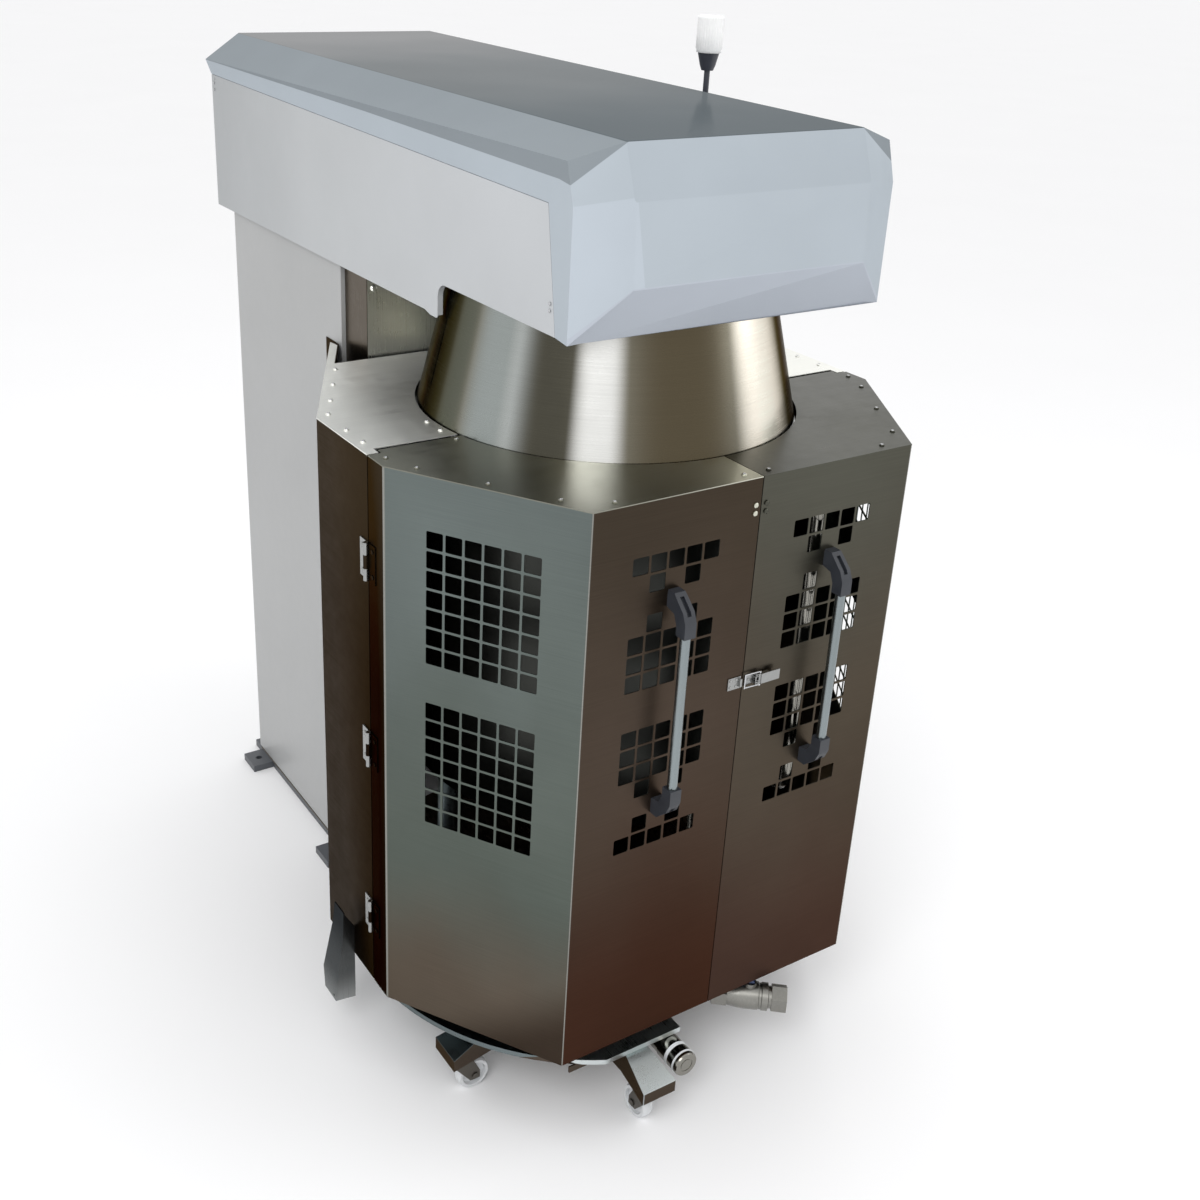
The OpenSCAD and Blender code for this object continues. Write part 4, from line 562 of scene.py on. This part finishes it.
def make_mesh(name: str, points: np.ndarray, faces: np.ndarray, smooth: bool = True) -> bpy.types.Object:
    """Put arrays into a mesh object at the origin.

    Args:
        name: the piece's name.
        points: an array of n by 3 places in metres.
        faces: an array of quads.
        smooth: whether the faces shade smoothly.

    Returns:
        The new object, linked to the scene, faces turned outwards.
    """
    mesh = bpy.data.meshes.new(name)
    mesh.from_pydata(points.tolist(), [], faces.tolist())
    mesh.polygons.foreach_set("use_smooth", np.full(len(mesh.polygons), smooth))
    mesh.update()
    obj = bpy.data.objects.new(name, mesh)
    bpy.context.scene.collection.objects.link(obj)
    bm = bmesh.new()
    bm.from_mesh(mesh)
    bmesh.ops.remove_doubles(bm, verts=bm.verts, dist=JOINED)
    bmesh.ops.recalc_face_normals(bm, faces=bm.faces)
    bm.to_mesh(mesh)
    bm.free()
    return obj


def revolve(name: str, profile: np.ndarray, origin: Vector, axis: Vector, steps: int = 64,
            flutes: int = 0, depth: float = 0.0) -> bpy.types.Object:
    """Turn a profile about an axis.

    The point at angle t is origin + axis * height + radius * (cos t * u + sin t * v), and flutes lower
    the radius by depth * (1 + cos(flutes * t)) / 2.

    Args:
        name: the piece's name.
        profile: an array of (radius, height) pairs; both ends on the axis close the solid.
        origin: where height 0 lies on the axis.
        axis: direction of the axis.
        steps: points round the axis.
        flutes: number of flutes round the piece.
        depth: depth of a flute in metres.

    Returns:
        The new object.
    """
    w = np.array(axis.normalized())
    u = np.array(axis.orthogonal().normalized())
    v = np.cross(w, u)
    t = np.linspace(0, 2 * math.pi, steps, endpoint=False)
    dip = depth * (1 + np.cos(flutes * t)) / 2 if flutes else np.zeros(steps)
    reach = profile[:, 0][:, None]
    radius = np.maximum(reach - np.where(reach > depth * 2, dip[None, :], 0), 0)
    points = (np.array(origin) + profile[:, 1][:, None, None] * w
              + radius[..., None] * (np.cos(t)[None, :, None] * u + np.sin(t)[None, :, None] * v))
    return make_mesh(name, points.reshape(-1, 3), grid_faces(len(profile), steps, True))


# A direction that no seam follows, from which a swept ring's first normal is made
SLANT = np.array([0.137, 0.291, 0.947])


def sweep(name: str, path: np.ndarray, radius: np.ndarray, steps: int = 12) -> bpy.types.Object:
    """Carry a circle along a path; its ends close to points only where the radius there is nothing.

    The ring at each path point lies in the plane of two normals that are carried along the path, and
    its radius is the matching value of radius.

    Args:
        name: the piece's name.
        path: an array of n by 3 points in metres.
        radius: the tube's radius at each point.
        steps: points round the tube.

    Returns:
        The new object.
    """
    tangent = np.gradient(path, axis=0)
    tangent /= np.linalg.norm(tangent, axis=1)[:, None]
    side = np.cross(tangent, SLANT)
    side /= np.linalg.norm(side, axis=1)[:, None]
    lift = np.cross(tangent, side)
    t = np.linspace(0, 2 * math.pi, steps, endpoint=False)
    ring = path[:, None, :] + radius[:, None, None] * (np.cos(t)[None, :, None] * side[:, None, :]
                                                       + np.sin(t)[None, :, None] * lift[:, None, :])
    return make_mesh(name, ring.reshape(-1, 3), grid_faces(len(path), steps, True))


# Rings of a screw's crown: share of its radius, share of its height, and whether the ring is a hexagon
CROWN = ((1.0, -1 / 6, False), (0.99, 0.45, False), (0.93, 0.75, False), (0.82, 0.95, False),
         (0.62, 1.0, True), (0.56, 0.9, True), (0.54, 0.12, True), (0.0, 0.1, False))
CROWN_STEPS = 36


def socket_heads(name: str, spots: list[Vector], radius: float = 0.0031,
                 rise: float = 0.0006) -> bpy.types.Object:
    """Domed crowns with a hexagon socket, one on each screw head, in one mesh.

    Rings go from the foot over the dome to the socket's floor. A hexagon's ring has the radius
    corner * cos 30 / cos((t mod 60) - 30).

    Args:
        name: the piece's name.
        spots: centres of the heads' flat tops.
        radius: radius of the crown's foot.
        rise: height of the crown.

    Returns:
        The new object.
    """
    t = np.linspace(0, 2 * math.pi, CROWN_STEPS, endpoint=False)
    hexagon = math.cos(math.pi / 6) / np.cos(np.mod(t, math.pi / 3) - math.pi / 6)
    one = np.ones(CROWN_STEPS)
    rings = [((hexagon if six else one) * radius * reach, rise * height) for reach, height, six in CROWN]
    crown = np.stack([np.stack([r * np.cos(t), r * np.sin(t), one * z], -1) for r, z in rings]).reshape(-1, 3)
    points = (np.array(spots)[:, None, :] + crown[None, :, :]).reshape(-1, 3)
    faces = grid_faces(len(rings), CROWN_STEPS, True)
    every = (np.arange(len(spots)) * len(crown))[:, None, None] + faces[None, :, :]
    return make_mesh(name, points, every.reshape(-1, 4))


def weld_bead(name: str, a: Vector, b: Vector, size: float, pitch: float) -> bpy.types.Object:
    """A rippled weld bead along a straight seam.

    The radius at distance s is size * (0.85 + 0.15 * |sin(pi * s / pitch)|), drawn in to nothing at
    both ends.

    Args:
        name: the piece's name.
        a: one end of the seam.
        b: the other end.
        size: radius of the bead.
        pitch: distance between ripples.

    Returns:
        The new object.
    """
    length = (b - a).length
    s = np.linspace(0, length, max(8, int(length / pitch * 4)))
    ends = np.clip(np.minimum(s, length - s) / size, 0, 1) ** 0.5
    radius = size * (0.85 + 0.15 * np.abs(np.sin(math.pi * s / pitch))) * ends
    path = np.array(a) + (s / length)[:, None] * np.array(b - a)
    return sweep(name, path, radius, 8)


# ---------------------------------------------------------------- dressing of the CAD nodes

# Vertices this close are welded, and edges sharper than this many degrees stay crisp
MERGED = 0.00002
SHARP_ANGLE = 34.0


@dataclass(frozen=True)
class Dress:
    """How a CAD node is finished: its material and the width of its softened edges in metres."""

    finish: object
    edge: float = 0.0
    segments: int = 2


def dress_node(node: str, dress: Dress, made: dict[str, bpy.types.Material]) -> None:
    """Give a CAD node its material, smooth shading and softened edges.

    Args:
        node: the node's name.
        dress: its finish.
        made: materials already built, by name.
    """
    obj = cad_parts[node]
    if dress.finish.name not in made:
        made[dress.finish.name] = dress.finish.material()
    obj.data.materials.clear()
    obj.data.materials.append(made[dress.finish.name])
    obj.data.polygons.foreach_set("use_smooth", np.full(len(obj.data.polygons), True))
    weld = obj.modifiers.new("weld", "WELD")
    weld.merge_threshold = MERGED
    if dress.edge:
        bevel = obj.modifiers.new("edge", "BEVEL")
        bevel.width = dress.edge
        bevel.segments = dress.segments
        bevel.limit_method = "ANGLE"
        bevel.angle_limit = math.radians(SHARP_ANGLE)
        bevel.use_clamp_overlap = True
        even = obj.modifiers.new("even", "WEIGHTED_NORMAL")
        even.mode = "FACE_AREA"
        even.weight = 50
        even.keep_sharp = True
    else:
        split = obj.modifiers.new("crisp", "EDGE_SPLIT")
        split.split_angle = math.radians(SHARP_ANGLE)


# Painted reflections on the cabinet's steel doors and walls: tones from the foot up that stand in for dark
# surroundings mirrored in the steel
FRONT_LEFT = Tones("422d25", "493f37", "423a31", 0.30, 0.95, 1.50)
FRONT_RIGHT = Tones("473731", "4f483f", "54544c", 0.30, 0.95, 1.50)
SLOPE_TONES = Tones("5e554b", "59605a", "666e6c", 0.28, 0.72, 1.50, 0.16,
                    (-0.30, 0.26, 1.0))
SIDE_TONES = Tones("1a120c", "1d140d", "362e24", 0.30, 0.95, 1.50)
# Painted reflection on the hood's glossy top: darker towards the front
HOOD_TOP = Tones("828384", "6c7072", "575e62", -1.2, -0.5, 0.35, 0.12, (0.0, -1.0, 0.0))
# Painted shade on the head's side panels: darker towards the rear
PANEL_TONES = Tones("96999b", "a7aaac", "afb2b5", -1.3, -0.7, 0.1, 0.10,
                    (0.0, -1.0, 0.0))
# What the doors reflect at a grazing angle
DARK_RIM = "b4aca4"
# Distances from the axis at which the front, side and mast faces begin
FRONT_FACE = 0.5142
SIDE_FACE = 0.5972
MAST_SIDE = 0.3285
# Painted dark reflection in the lower corner of the left door's slanted panel
LOW_CORNER = Zone((0.8, 0.0, -0.6), -0.535, "3c332c", 0.05)

# Door sheets: painted reflection tones on each face, a painted dark reflection in the slanted panel's corner
# and painted highlights along the folds
sheet_left = BrushedSheet("brushed_door_left", SLOPE_TONES, Grain.LEVEL, 0.34, 0.10, 0.10,
                          (LOW_CORNER, Zone((0, -1, 0), FRONT_FACE, FRONT_LEFT),
                           Zone((-1, 0, 0), SIDE_FACE, SIDE_TONES),
                           fold("door_shell_left", (-0.36, -0.93, 0.0)),
                           fold("door_shell_left", (-0.93, -0.36, 0.0))),
                          (), DARK_RIM)
sheet_right = BrushedSheet("brushed_door_right", SLOPE_TONES, Grain.LEVEL, 0.34, 0.10, 0.10,
                           (Zone((0, -1, 0), FRONT_FACE, FRONT_RIGHT), Zone((1, 0, 0), SIDE_FACE, SIDE_TONES),
                            fold("door_shell_right", (0.36, -0.93, 0.0)),
                            fold("door_shell_right", (0.93, -0.36, 0.0))),
                           (), DARK_RIM)
# Painted reflection: the side walls' dark tones
sheet_walls = BrushedSheet("brushed_walls", SIDE_TONES, Grain.LEVEL, 0.36, 0.10, 0.10, (), (), "c2bcb6")
# Painted reflection on the top plates, all one steel: near white at the rear, lighter towards the middle on
# the left door, dark on the right door
sheet_top_rear = BrushedSheet("brushed_top_rear", "f1f1ec", Grain.ALONG_X, 0.46, 0.06, 0.08)
TOP_TONES = Tones("7c7c72", "9c9c90", "c6c6b8", -0.50, -0.25, -0.02, 0.03, (1.0, 0.0, 0.0))
sheet_top_left = BrushedSheet("brushed_top_left", TOP_TONES, Grain.ALONG_X, 0.34, 0.08, 0.16)
sheet_top_right = BrushedSheet("brushed_top_right", "4d4d45", Grain.ALONG_X, 0.32, 0.08, 0.22)
# Painted light on the mast cover's front, made near white against the shade under the hood, and painted shade
# on its left side
sheet_mast = BrushedSheet("brushed_mast", "f4f5ef", Grain.UPRIGHT, 0.30, 0.08, 0.06,
                          (Zone((-1, 0, 0), MAST_SIDE, "584f43"),))
# Painted highlights and painted dark reflections on the cone, as upright bands at fixed bearings
sheet_cone = BrushedSheet("brushed_cone", "7d7a6e", Grain.LEVEL, 0.24, 0.05, 0.05, (), (
    PaintedReflectionBand(171, 26, "4b4a3f"), PaintedReflectionBand(183, 14, "62645a"), PaintedReflectionBand(199, 24, "949a98"), PaintedReflectionBand(209, 14, "a6aaa8"),
    PaintedReflectionBand(219, 26, "4a483f"), PaintedReflectionBand(233, 18, "e2e2df"), PaintedReflectionBand(258, 44, "564e3e"), PaintedReflectionBand(291, 32, "fff8ea"),
    PaintedReflectionBand(318, 30, "575041"), PaintedReflectionBand(20, 60, "5a584e"), PaintedReflectionBand(90, 70, "a3a49c"), PaintedReflectionBand(140, 40, "5d5c52")),
    "8a8378")
# Painted light on the side brackets: pale at the foot and darker upwards, with a painted highlight along the
# outer fold
BRACKET_TONES = Tones("a4a6a5", "5c5e5e", "3b3c3c", 0.08, 0.20, 0.34, 0.02)
sheet_bracket = BrushedSheet("brushed_bracket", BRACKET_TONES, Grain.UPRIGHT, 0.30, 0.10, 0.14,
                             (fold("side_brackets", (-1.0, -0.25, 0.0), "8d949c"),), (), "b0b2b4")
# Painted light on the trolley: pale tones on the sloping tops of the arms and a painted highlight along the
# front fold
sheet_trolley = BrushedSheet("brushed_trolley", "564d45", Grain.ALONG_Y, 0.30, 0.10, 0.14,
                             (Zone((0.0, -0.3217, 0.9468), 0.3090, "d2d9d9"),
                              Zone((-0.3217, 0.0, 0.9468), 0.2859, "747e80"),
                              fold("trolley_frame", (-0.25, -1.0, 0.0), "b4babc")), (), "a8a29c")
# Painted shade: the jacket is given a dark tone that stands in for the shade inside the cabinet
sheet_jacket = BrushedSheet("jacket_painted_shade", "454643", Grain.LEVEL, 0.42, 0.06, 0.12, (), (), "4a4a48")
sheet_bowl = BrushedSheet("polished_bowl", "c6c7c5", Grain.LEVEL, 0.20, 0.05, 0.05)
sheet_hinge = BrushedSheet("satin_hinge", "9a9b9a", Grain.UPRIGHT, 0.30, 0.06, 0.06)
steel_ground = BrushedSheet("ground_steel", "c3c4c6", Grain.UPRIGHT, 0.18, 0.05, 0.04)
steel_pipe = BrushedSheet("polished_pipe", "8f8d86", Grain.ALONG_Y, 0.18, 0.06, 0.08)
steel_handle = BrushedSheet("satin_handle", "868e90", Grain.UPRIGHT, 0.28, 0.05, 0.05)
cast_valve = CastMetal("cast_valve", "8d8c87", 0.34)
cast_castor = CastMetal("pressed_castor", "625e58", 0.36, 0.00004)
cast_grey = CastMetal("painted_casting", "6d7276", 0.5, 0.00012, 0.0)
# Painted shade and painted reflection on the hood: each flat face gets its own tone, the chamfers darkest,
# and the top the painted reflection of HOOD_TOP
paint_hood = Paint("paint_hood", "a6aeb5", 0.24, 0.12, 0.00003, (
    facet("hood", (-0.75, -0.65, 0.1), "adb5bd"), facet("hood", (0, -0.6, -0.8), "aab0b9"),
    facet("hood", (0, -0.6, 0.8), "a2aab1"), facet("hood", (-0.5, 0, 0.85), "82898e"),
    facet("hood", (0.5, 0, 0.85), "82898e"), facet("hood", (0, 0, 1), HOOD_TOP)), 0.0)
paint_panel = Paint("paint_panel", PANEL_TONES, 0.36, 0.2)
paint_column = Paint("paint_column", "9e9f9f", 0.42, 0.15)
paint_frame = Paint("paint_frame", "4a4d52", 0.45, 0.1)
paint_motor = Paint("paint_motor", "2f4a6d", 0.4, 0.3)
paint_lever = Paint("paint_lever", "243458", 0.4, 0.3)
plastic_black = Moulded("handle_black", "2b2e34", 0.46)
plastic_lamp = Moulded("lamp_black", "30323a", 0.36, 1200.0)
plastic_white = Moulded("seal_white", "e9ecef", 0.42)
rubber_wheel = Moulded("castor_grey", "c9cbcd", 0.55, 500.0)
rubber_belt = Moulded("belt_black", "161616", 0.6)
lens_clear = ClearLens("lamp_clear", "ffffff", 0.22)


@dataclass
class Cabinet:
    """Guard cabinet: walls, tops, doors, hinges, latch, handles and side brackets."""

    nodes: dict[str, Dress] = field(default_factory=lambda: {
        "cabinet_rear_walls": Dress(sheet_walls, 0.0009), "cabinet_rear_top": Dress(sheet_top_rear, 0.0004),
        "side_brackets": Dress(sheet_bracket, 0.0009), "hinge_fixed_leaves": Dress(sheet_hinge, 0.0004),
        "hinge_pins": Dress(steel_ground), "door_shell_left": Dress(sheet_left, 0.0008),
        "door_shell_right": Dress(sheet_right, 0.0008), "door_top_left": Dress(sheet_top_left, 0.0004),
        "door_top_right": Dress(sheet_top_right, 0.0004), "handle_left": Dress(plastic_black, 0.0016, 3),
        "handle_right": Dress(plastic_black, 0.0016, 3), "handle_tubes_left": Dress(steel_handle),
        "handle_tubes_right": Dress(steel_handle), "latch_keeper": Dress(sheet_hinge, 0.0003),
        "latch_base": Dress(sheet_hinge, 0.0003), "latch_lever": Dress(sheet_hinge, 0.0004),
        "latch_loop": Dress(steel_ground),
    })

    def dress(self, made: dict[str, bpy.types.Material]) -> None:
        """Finish the cabinet's CAD nodes."""
        for node, how in self.nodes.items():
            dress_node(node, how, made)

    def screws(self, made: dict[str, bpy.types.Material]) -> list[bpy.types.Object]:
        """Socket crowns on the heads of the tops' screws.

        Args:
            made: materials by name.

        Returns:
            One piece for each top plate.
        """
        pieces = []
        tops = {"door_top_left": "left_door", "door_top_right": "right_door", "cabinet_rear_top": "stand"}
        for node, body in tops.items():
            obj = socket_heads(f"sockets_{node}", head_tops(node))
            obj.data.materials.append(made["ground_steel"])
            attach(obj, body)
            pieces.append(obj)
        return pieces


# A small domed screw with a dimple: pairs of (radius, height over the sheet)
PANEL_SCREW = np.array([[0, -0.0008], [0.0032, -0.0008], [0.0034, 0.0001], [0.0028, 0.0008], [0.0016, 0.0011],
                        [0.0013, 0.0005], [0, 0.0004]])


@dataclass
class Head:
    """Lifting head: hood, side panels, lamp, cone, mast cover, drive and tools."""

    lens_centre: tuple[float, float] = (0.320, 0.145)
    flute_count: int = 30
    flute_depth: float = 0.0008
    lens_round: float = 0.006
    lens_neck: float = 0.93
    lens_foot: float = 0.008
    front_screw: tuple[float, float] = (0.018, 0.116)
    front_pitch: float = 0.012
    rear_screw: tuple[float, float] = (0.016, 0.020)
    rear_pitch: float = 0.016
    screw_steps: int = 30
    nodes: dict[str, Dress] = field(default_factory=lambda: {
        "hood": Dress(paint_hood, 0.004, 3), "side_panel_left": Dress(paint_panel, 0.0009),
        "side_panel_right": Dress(paint_panel, 0.0009), "head_frame": Dress(paint_frame),
        "carriage": Dress(cast_grey), "mast_cover": Dress(sheet_mast, 0.0012),
        "lift_rod": Dress(steel_ground), "cone_shroud": Dress(sheet_cone),
        "gearbox_housing": Dress(cast_grey), "sun_gear": Dress(steel_ground), "motor": Dress(paint_motor),
        "drive_belt": Dress(rubber_belt), "lamp_stem": Dress(plastic_lamp, 0.0006),
        "lamp_lens": Dress(lens_clear), "planet_carrier": Dress(sheet_bowl),
        "main_shaft": Dress(steel_ground), "scraper_arm": Dress(sheet_bowl),
        "scraper_blade": Dress(plastic_white), "beater_left": Dress(sheet_bowl),
        "beater_right": Dress(sheet_bowl), "motor_pulley": Dress(cast_grey),
    })

    def dress(self, made: dict[str, bpy.types.Material]) -> None:
        """Finish the head's CAD nodes."""
        for node, how in self.nodes.items():
            dress_node(node, how, made)

    def panel_screws(self, made: dict[str, bpy.types.Material]) -> list[bpy.types.Object]:
        """Small domed screws that hold the side panels at their front and rear ends.

        Args:
            made: materials by name.

        Returns:
            One piece for each screw.
        """
        pieces = []
        for side, node, sign in (("left", "side_panel_left", -1), ("right", "side_panel_right", 1)):
            low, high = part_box(node)
            face = low[0] if sign < 0 else high[0]
            front = (low[1] + self.front_screw[0], low[2] + self.front_screw[1])
            rear = (high[1] - self.rear_screw[0], high[2] - self.rear_screw[1])
            spots = (front, (front[0], front[1] + self.front_pitch),
                     rear, (rear[0], rear[1] - self.rear_pitch))
            for number, (y, z) in enumerate(spots):
                obj = revolve(f"panel_screw_{side}_{number}", PANEL_SCREW, Vector((face, y, z)),
                              Vector((sign, 0, 0)), self.screw_steps)
                obj.data.materials.append(made["ground_steel"])
                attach(obj, "head")
                pieces.append(obj)
        return pieces

    def lens(self, made: dict[str, bpy.types.Material]) -> bpy.types.Object:
        """Fluted lens in place of the plain one.

        Args:
            made: materials by name.

        Returns:
            A revolved dome whose side carries upright flutes.
        """
        low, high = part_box("lamp_lens")
        r = (high[0] - low[0]) / 2
        h = high[2] - low[2]
        a = np.linspace(0, math.pi / 2, 8)
        rim, neck = self.lens_round, r * self.lens_neck
        dome = np.stack([r - rim + rim * np.cos(a), h - rim + rim * np.sin(a)], -1)
        profile = np.concatenate([[[0, 0], [neck, 0], [neck, rim], [r, self.lens_foot]],
                                  [[r, h * 0.5]], dome, [[r * 0.5, h], [0, h]]])
        obj = revolve("lamp_lens_fluted", profile, Vector((*self.lens_centre, low[2])), Vector((0, 0, 1)),
                      self.flute_count * 6, self.flute_count, self.flute_depth)
        obj.data.materials.append(made["lamp_clear"])
        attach(obj, "head")
        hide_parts("lamp_lens")
        return obj


@dataclass
class Base:
    """Column, base plate, lift, trolley, castors, vessel, pipes and valve."""

    weld_margin: float = 0.01
    weld_size: float = 0.0028
    weld_pitch: float = 0.0045
    nodes: dict[str, Dress] = field(default_factory=lambda: {
        "base_plate": Dress(paint_frame), "column_shell": Dress(paint_column, 0.003, 3),
        "guide_rails": Dress(steel_ground), "lift_cylinder": Dress(paint_frame),
        "trolley_frame": Dress(sheet_trolley, 0.0012), "bowl": Dress(sheet_bowl),
        "jacket": Dress(sheet_jacket), "rim_gasket": Dress(plastic_white),
        "jacket_pipes": Dress(steel_pipe), "outlet_pipe": Dress(steel_pipe),
        "outlet_seals": Dress(plastic_white), "outlet_cap": Dress(steel_pipe, 0.0006),
        "valve_body": Dress(cast_valve, 0.0008), "valve_lever": Dress(paint_lever, 0.0006),
        "fork_front": Dress(cast_castor, 0.0005), "fork_left": Dress(cast_castor, 0.0005),
        "fork_right": Dress(cast_castor, 0.0005), "fork_rear": Dress(cast_castor, 0.0005),
        "wheel_front": Dress(rubber_wheel), "wheel_left": Dress(rubber_wheel),
        "wheel_right": Dress(rubber_wheel), "wheel_rear": Dress(rubber_wheel),
    })

    def dress(self, made: dict[str, bpy.types.Material]) -> None:
        """Finish the base's CAD nodes."""
        for node, how in self.nodes.items():
            dress_node(node, how, made)

    def welds(self, made: dict[str, bpy.types.Material]) -> list[bpy.types.Object]:
        """Weld beads along the column's foot.

        Args:
            made: materials by name.

        Returns:
            The beads.
        """
        low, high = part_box("column_shell")
        beads = []
        for side, x in (("left", low[0]), ("right", high[0])):
            ends = (Vector((x, y, low[2])) for y in (low[1] + self.weld_margin, high[1] - self.weld_margin))
            bead = weld_bead(f"foot_weld_{side}", *ends, self.weld_size, self.weld_pitch)
            bead.data.materials.append(made["pressed_castor"])
            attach(bead, "stand")
            beads.append(bead)
        return beads


@dataclass(frozen=True)
class Lamp:
    """A soft square light: its place, what it points at, its side in metres and its power in watts."""

    name: str
    at: tuple[float, float, float]
    aim: tuple[float, float, float]
    size: float
    power: float


@dataclass
class Studio:
    """Pale floor, soft light and the camera at the photograph's viewpoint."""

    place: tuple[float, float, float] = (-1.6565, -2.3185, 2.3996)
    turn: float = 0.575
    tilt: float = 0.413
    roll: float = 0.040
    lens: float = 42.40
    shift: tuple[float, float] = (0.0514, -0.0592)
    sensor: float = 36.0
    reach: float = 300.0
    floor_half: float = 80.0
    floor_colour: str = "f7f7f8"
    floor_roughness: float = 0.85
    sky: float = 1.0
    lamps: tuple[Lamp, ...] = (Lamp("key", (-3.2, -2.6, 4.2), (0, 0, 1.2), 2.4, 80),
                               Lamp("fill", (3.4, -2.4, 3.0), (0, 0, 1.0), 2.6, 24),
                               Lamp("top", (0.5, 1.0, 5.0), (0, 0.3, 1.5), 3.0, 24))

    def camera(self) -> None:
        """Set up the camera.

        The forward direction is (sin turn cos tilt, cos turn cos tilt, -sin tilt); right and up are
        turned about it by the roll.
        """
        ahead = Vector((math.sin(self.turn) * math.cos(self.tilt), math.cos(self.turn) * math.cos(self.tilt),
                        -math.sin(self.tilt)))
        right = Vector((math.cos(self.turn), -math.sin(self.turn), 0))
        up = right.cross(ahead)
        c, s = math.cos(self.roll), math.sin(self.roll)
        across, top = right * c + up * s, up * c - right * s
        data = bpy.data.cameras.new("camera")
        data.lens = self.lens
        data.sensor_width = self.sensor
        data.shift_x, data.shift_y = self.shift
        data.clip_end = self.reach
        cam = bpy.data.objects.new("camera", data)
        turned = Matrix((across, top, -ahead)).transposed().to_4x4()
        cam.matrix_world = Matrix.Translation(self.place) @ turned
        bpy.context.scene.collection.objects.link(cam)
        bpy.context.scene.camera = cam

    def floor(self) -> None:
        """A wide pale floor."""
        points = np.array([[-1, -1, 0], [1, -1, 0], [1, 1, 0], [-1, 1, 0]], float) * self.floor_half
        obj = make_mesh("studio_floor", points, np.array([[0, 1, 2, 3]]), False)
        s = Shader("studio_floor")
        s.join(s.shade(linear(self.floor_colour), s.spread(s.even(FLOOR_CLOUDS), 0.99, 1.0)), "Base Color")
        s.set("Roughness", self.floor_roughness)
        obj.data.materials.append(s.material)

    def shine(self, lamp: Lamp) -> None:
        """Hang one soft square light."""
        data = bpy.data.lights.new(lamp.name, "AREA")
        data.size = lamp.size
        data.energy = lamp.power
        obj = bpy.data.objects.new(lamp.name, data)
        turned = (Vector(lamp.aim) - Vector(lamp.at)).to_track_quat("-Z", "Y").to_matrix().to_4x4()
        obj.matrix_world = Matrix.Translation(lamp.at) @ turned
        bpy.context.scene.collection.objects.link(obj)

    def light(self) -> None:
        """Even white sky with a large key light from the left front, a fill and a top light."""
        world = bpy.data.worlds.new("studio_sky")
        world.use_nodes = True
        sky = world.node_tree.nodes["Background"]
        sky.inputs["Color"].default_value = (1.0, 1.0, 1.0, 1.0)
        sky.inputs["Strength"].default_value = self.sky
        bpy.context.scene.world = world
        for lamp in self.lamps:
            self.shine(lamp)
        bpy.context.scene.view_settings.view_transform = "Standard"


def main() -> None:
    """Build the pieces in order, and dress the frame."""
    logging.basicConfig(level=logging.INFO, format="%(message)s")
    made: dict[str, bpy.types.Material] = {}
    studio = Studio()
    studio.camera()
    studio.floor()
    studio.light()
    cabinet, head, base = Cabinet(), Head(), Base()
    for part in (cabinet, head, base):
        part.dress(made)
        log.info("dressed %s: %d nodes", type(part).__name__, len(part.nodes))
    log.info("made %s", head.lens(made).name)
    for obj in cabinet.screws(made) + head.panel_screws(made) + base.welds(made):
        log.info("made %s", obj.name)
    bare = [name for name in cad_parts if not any(name in p.nodes for p in (cabinet, head, base))]
    if bare:
        log.warning("nodes without a finish: %s", bare)


if __name__ == "__main__":
    main()
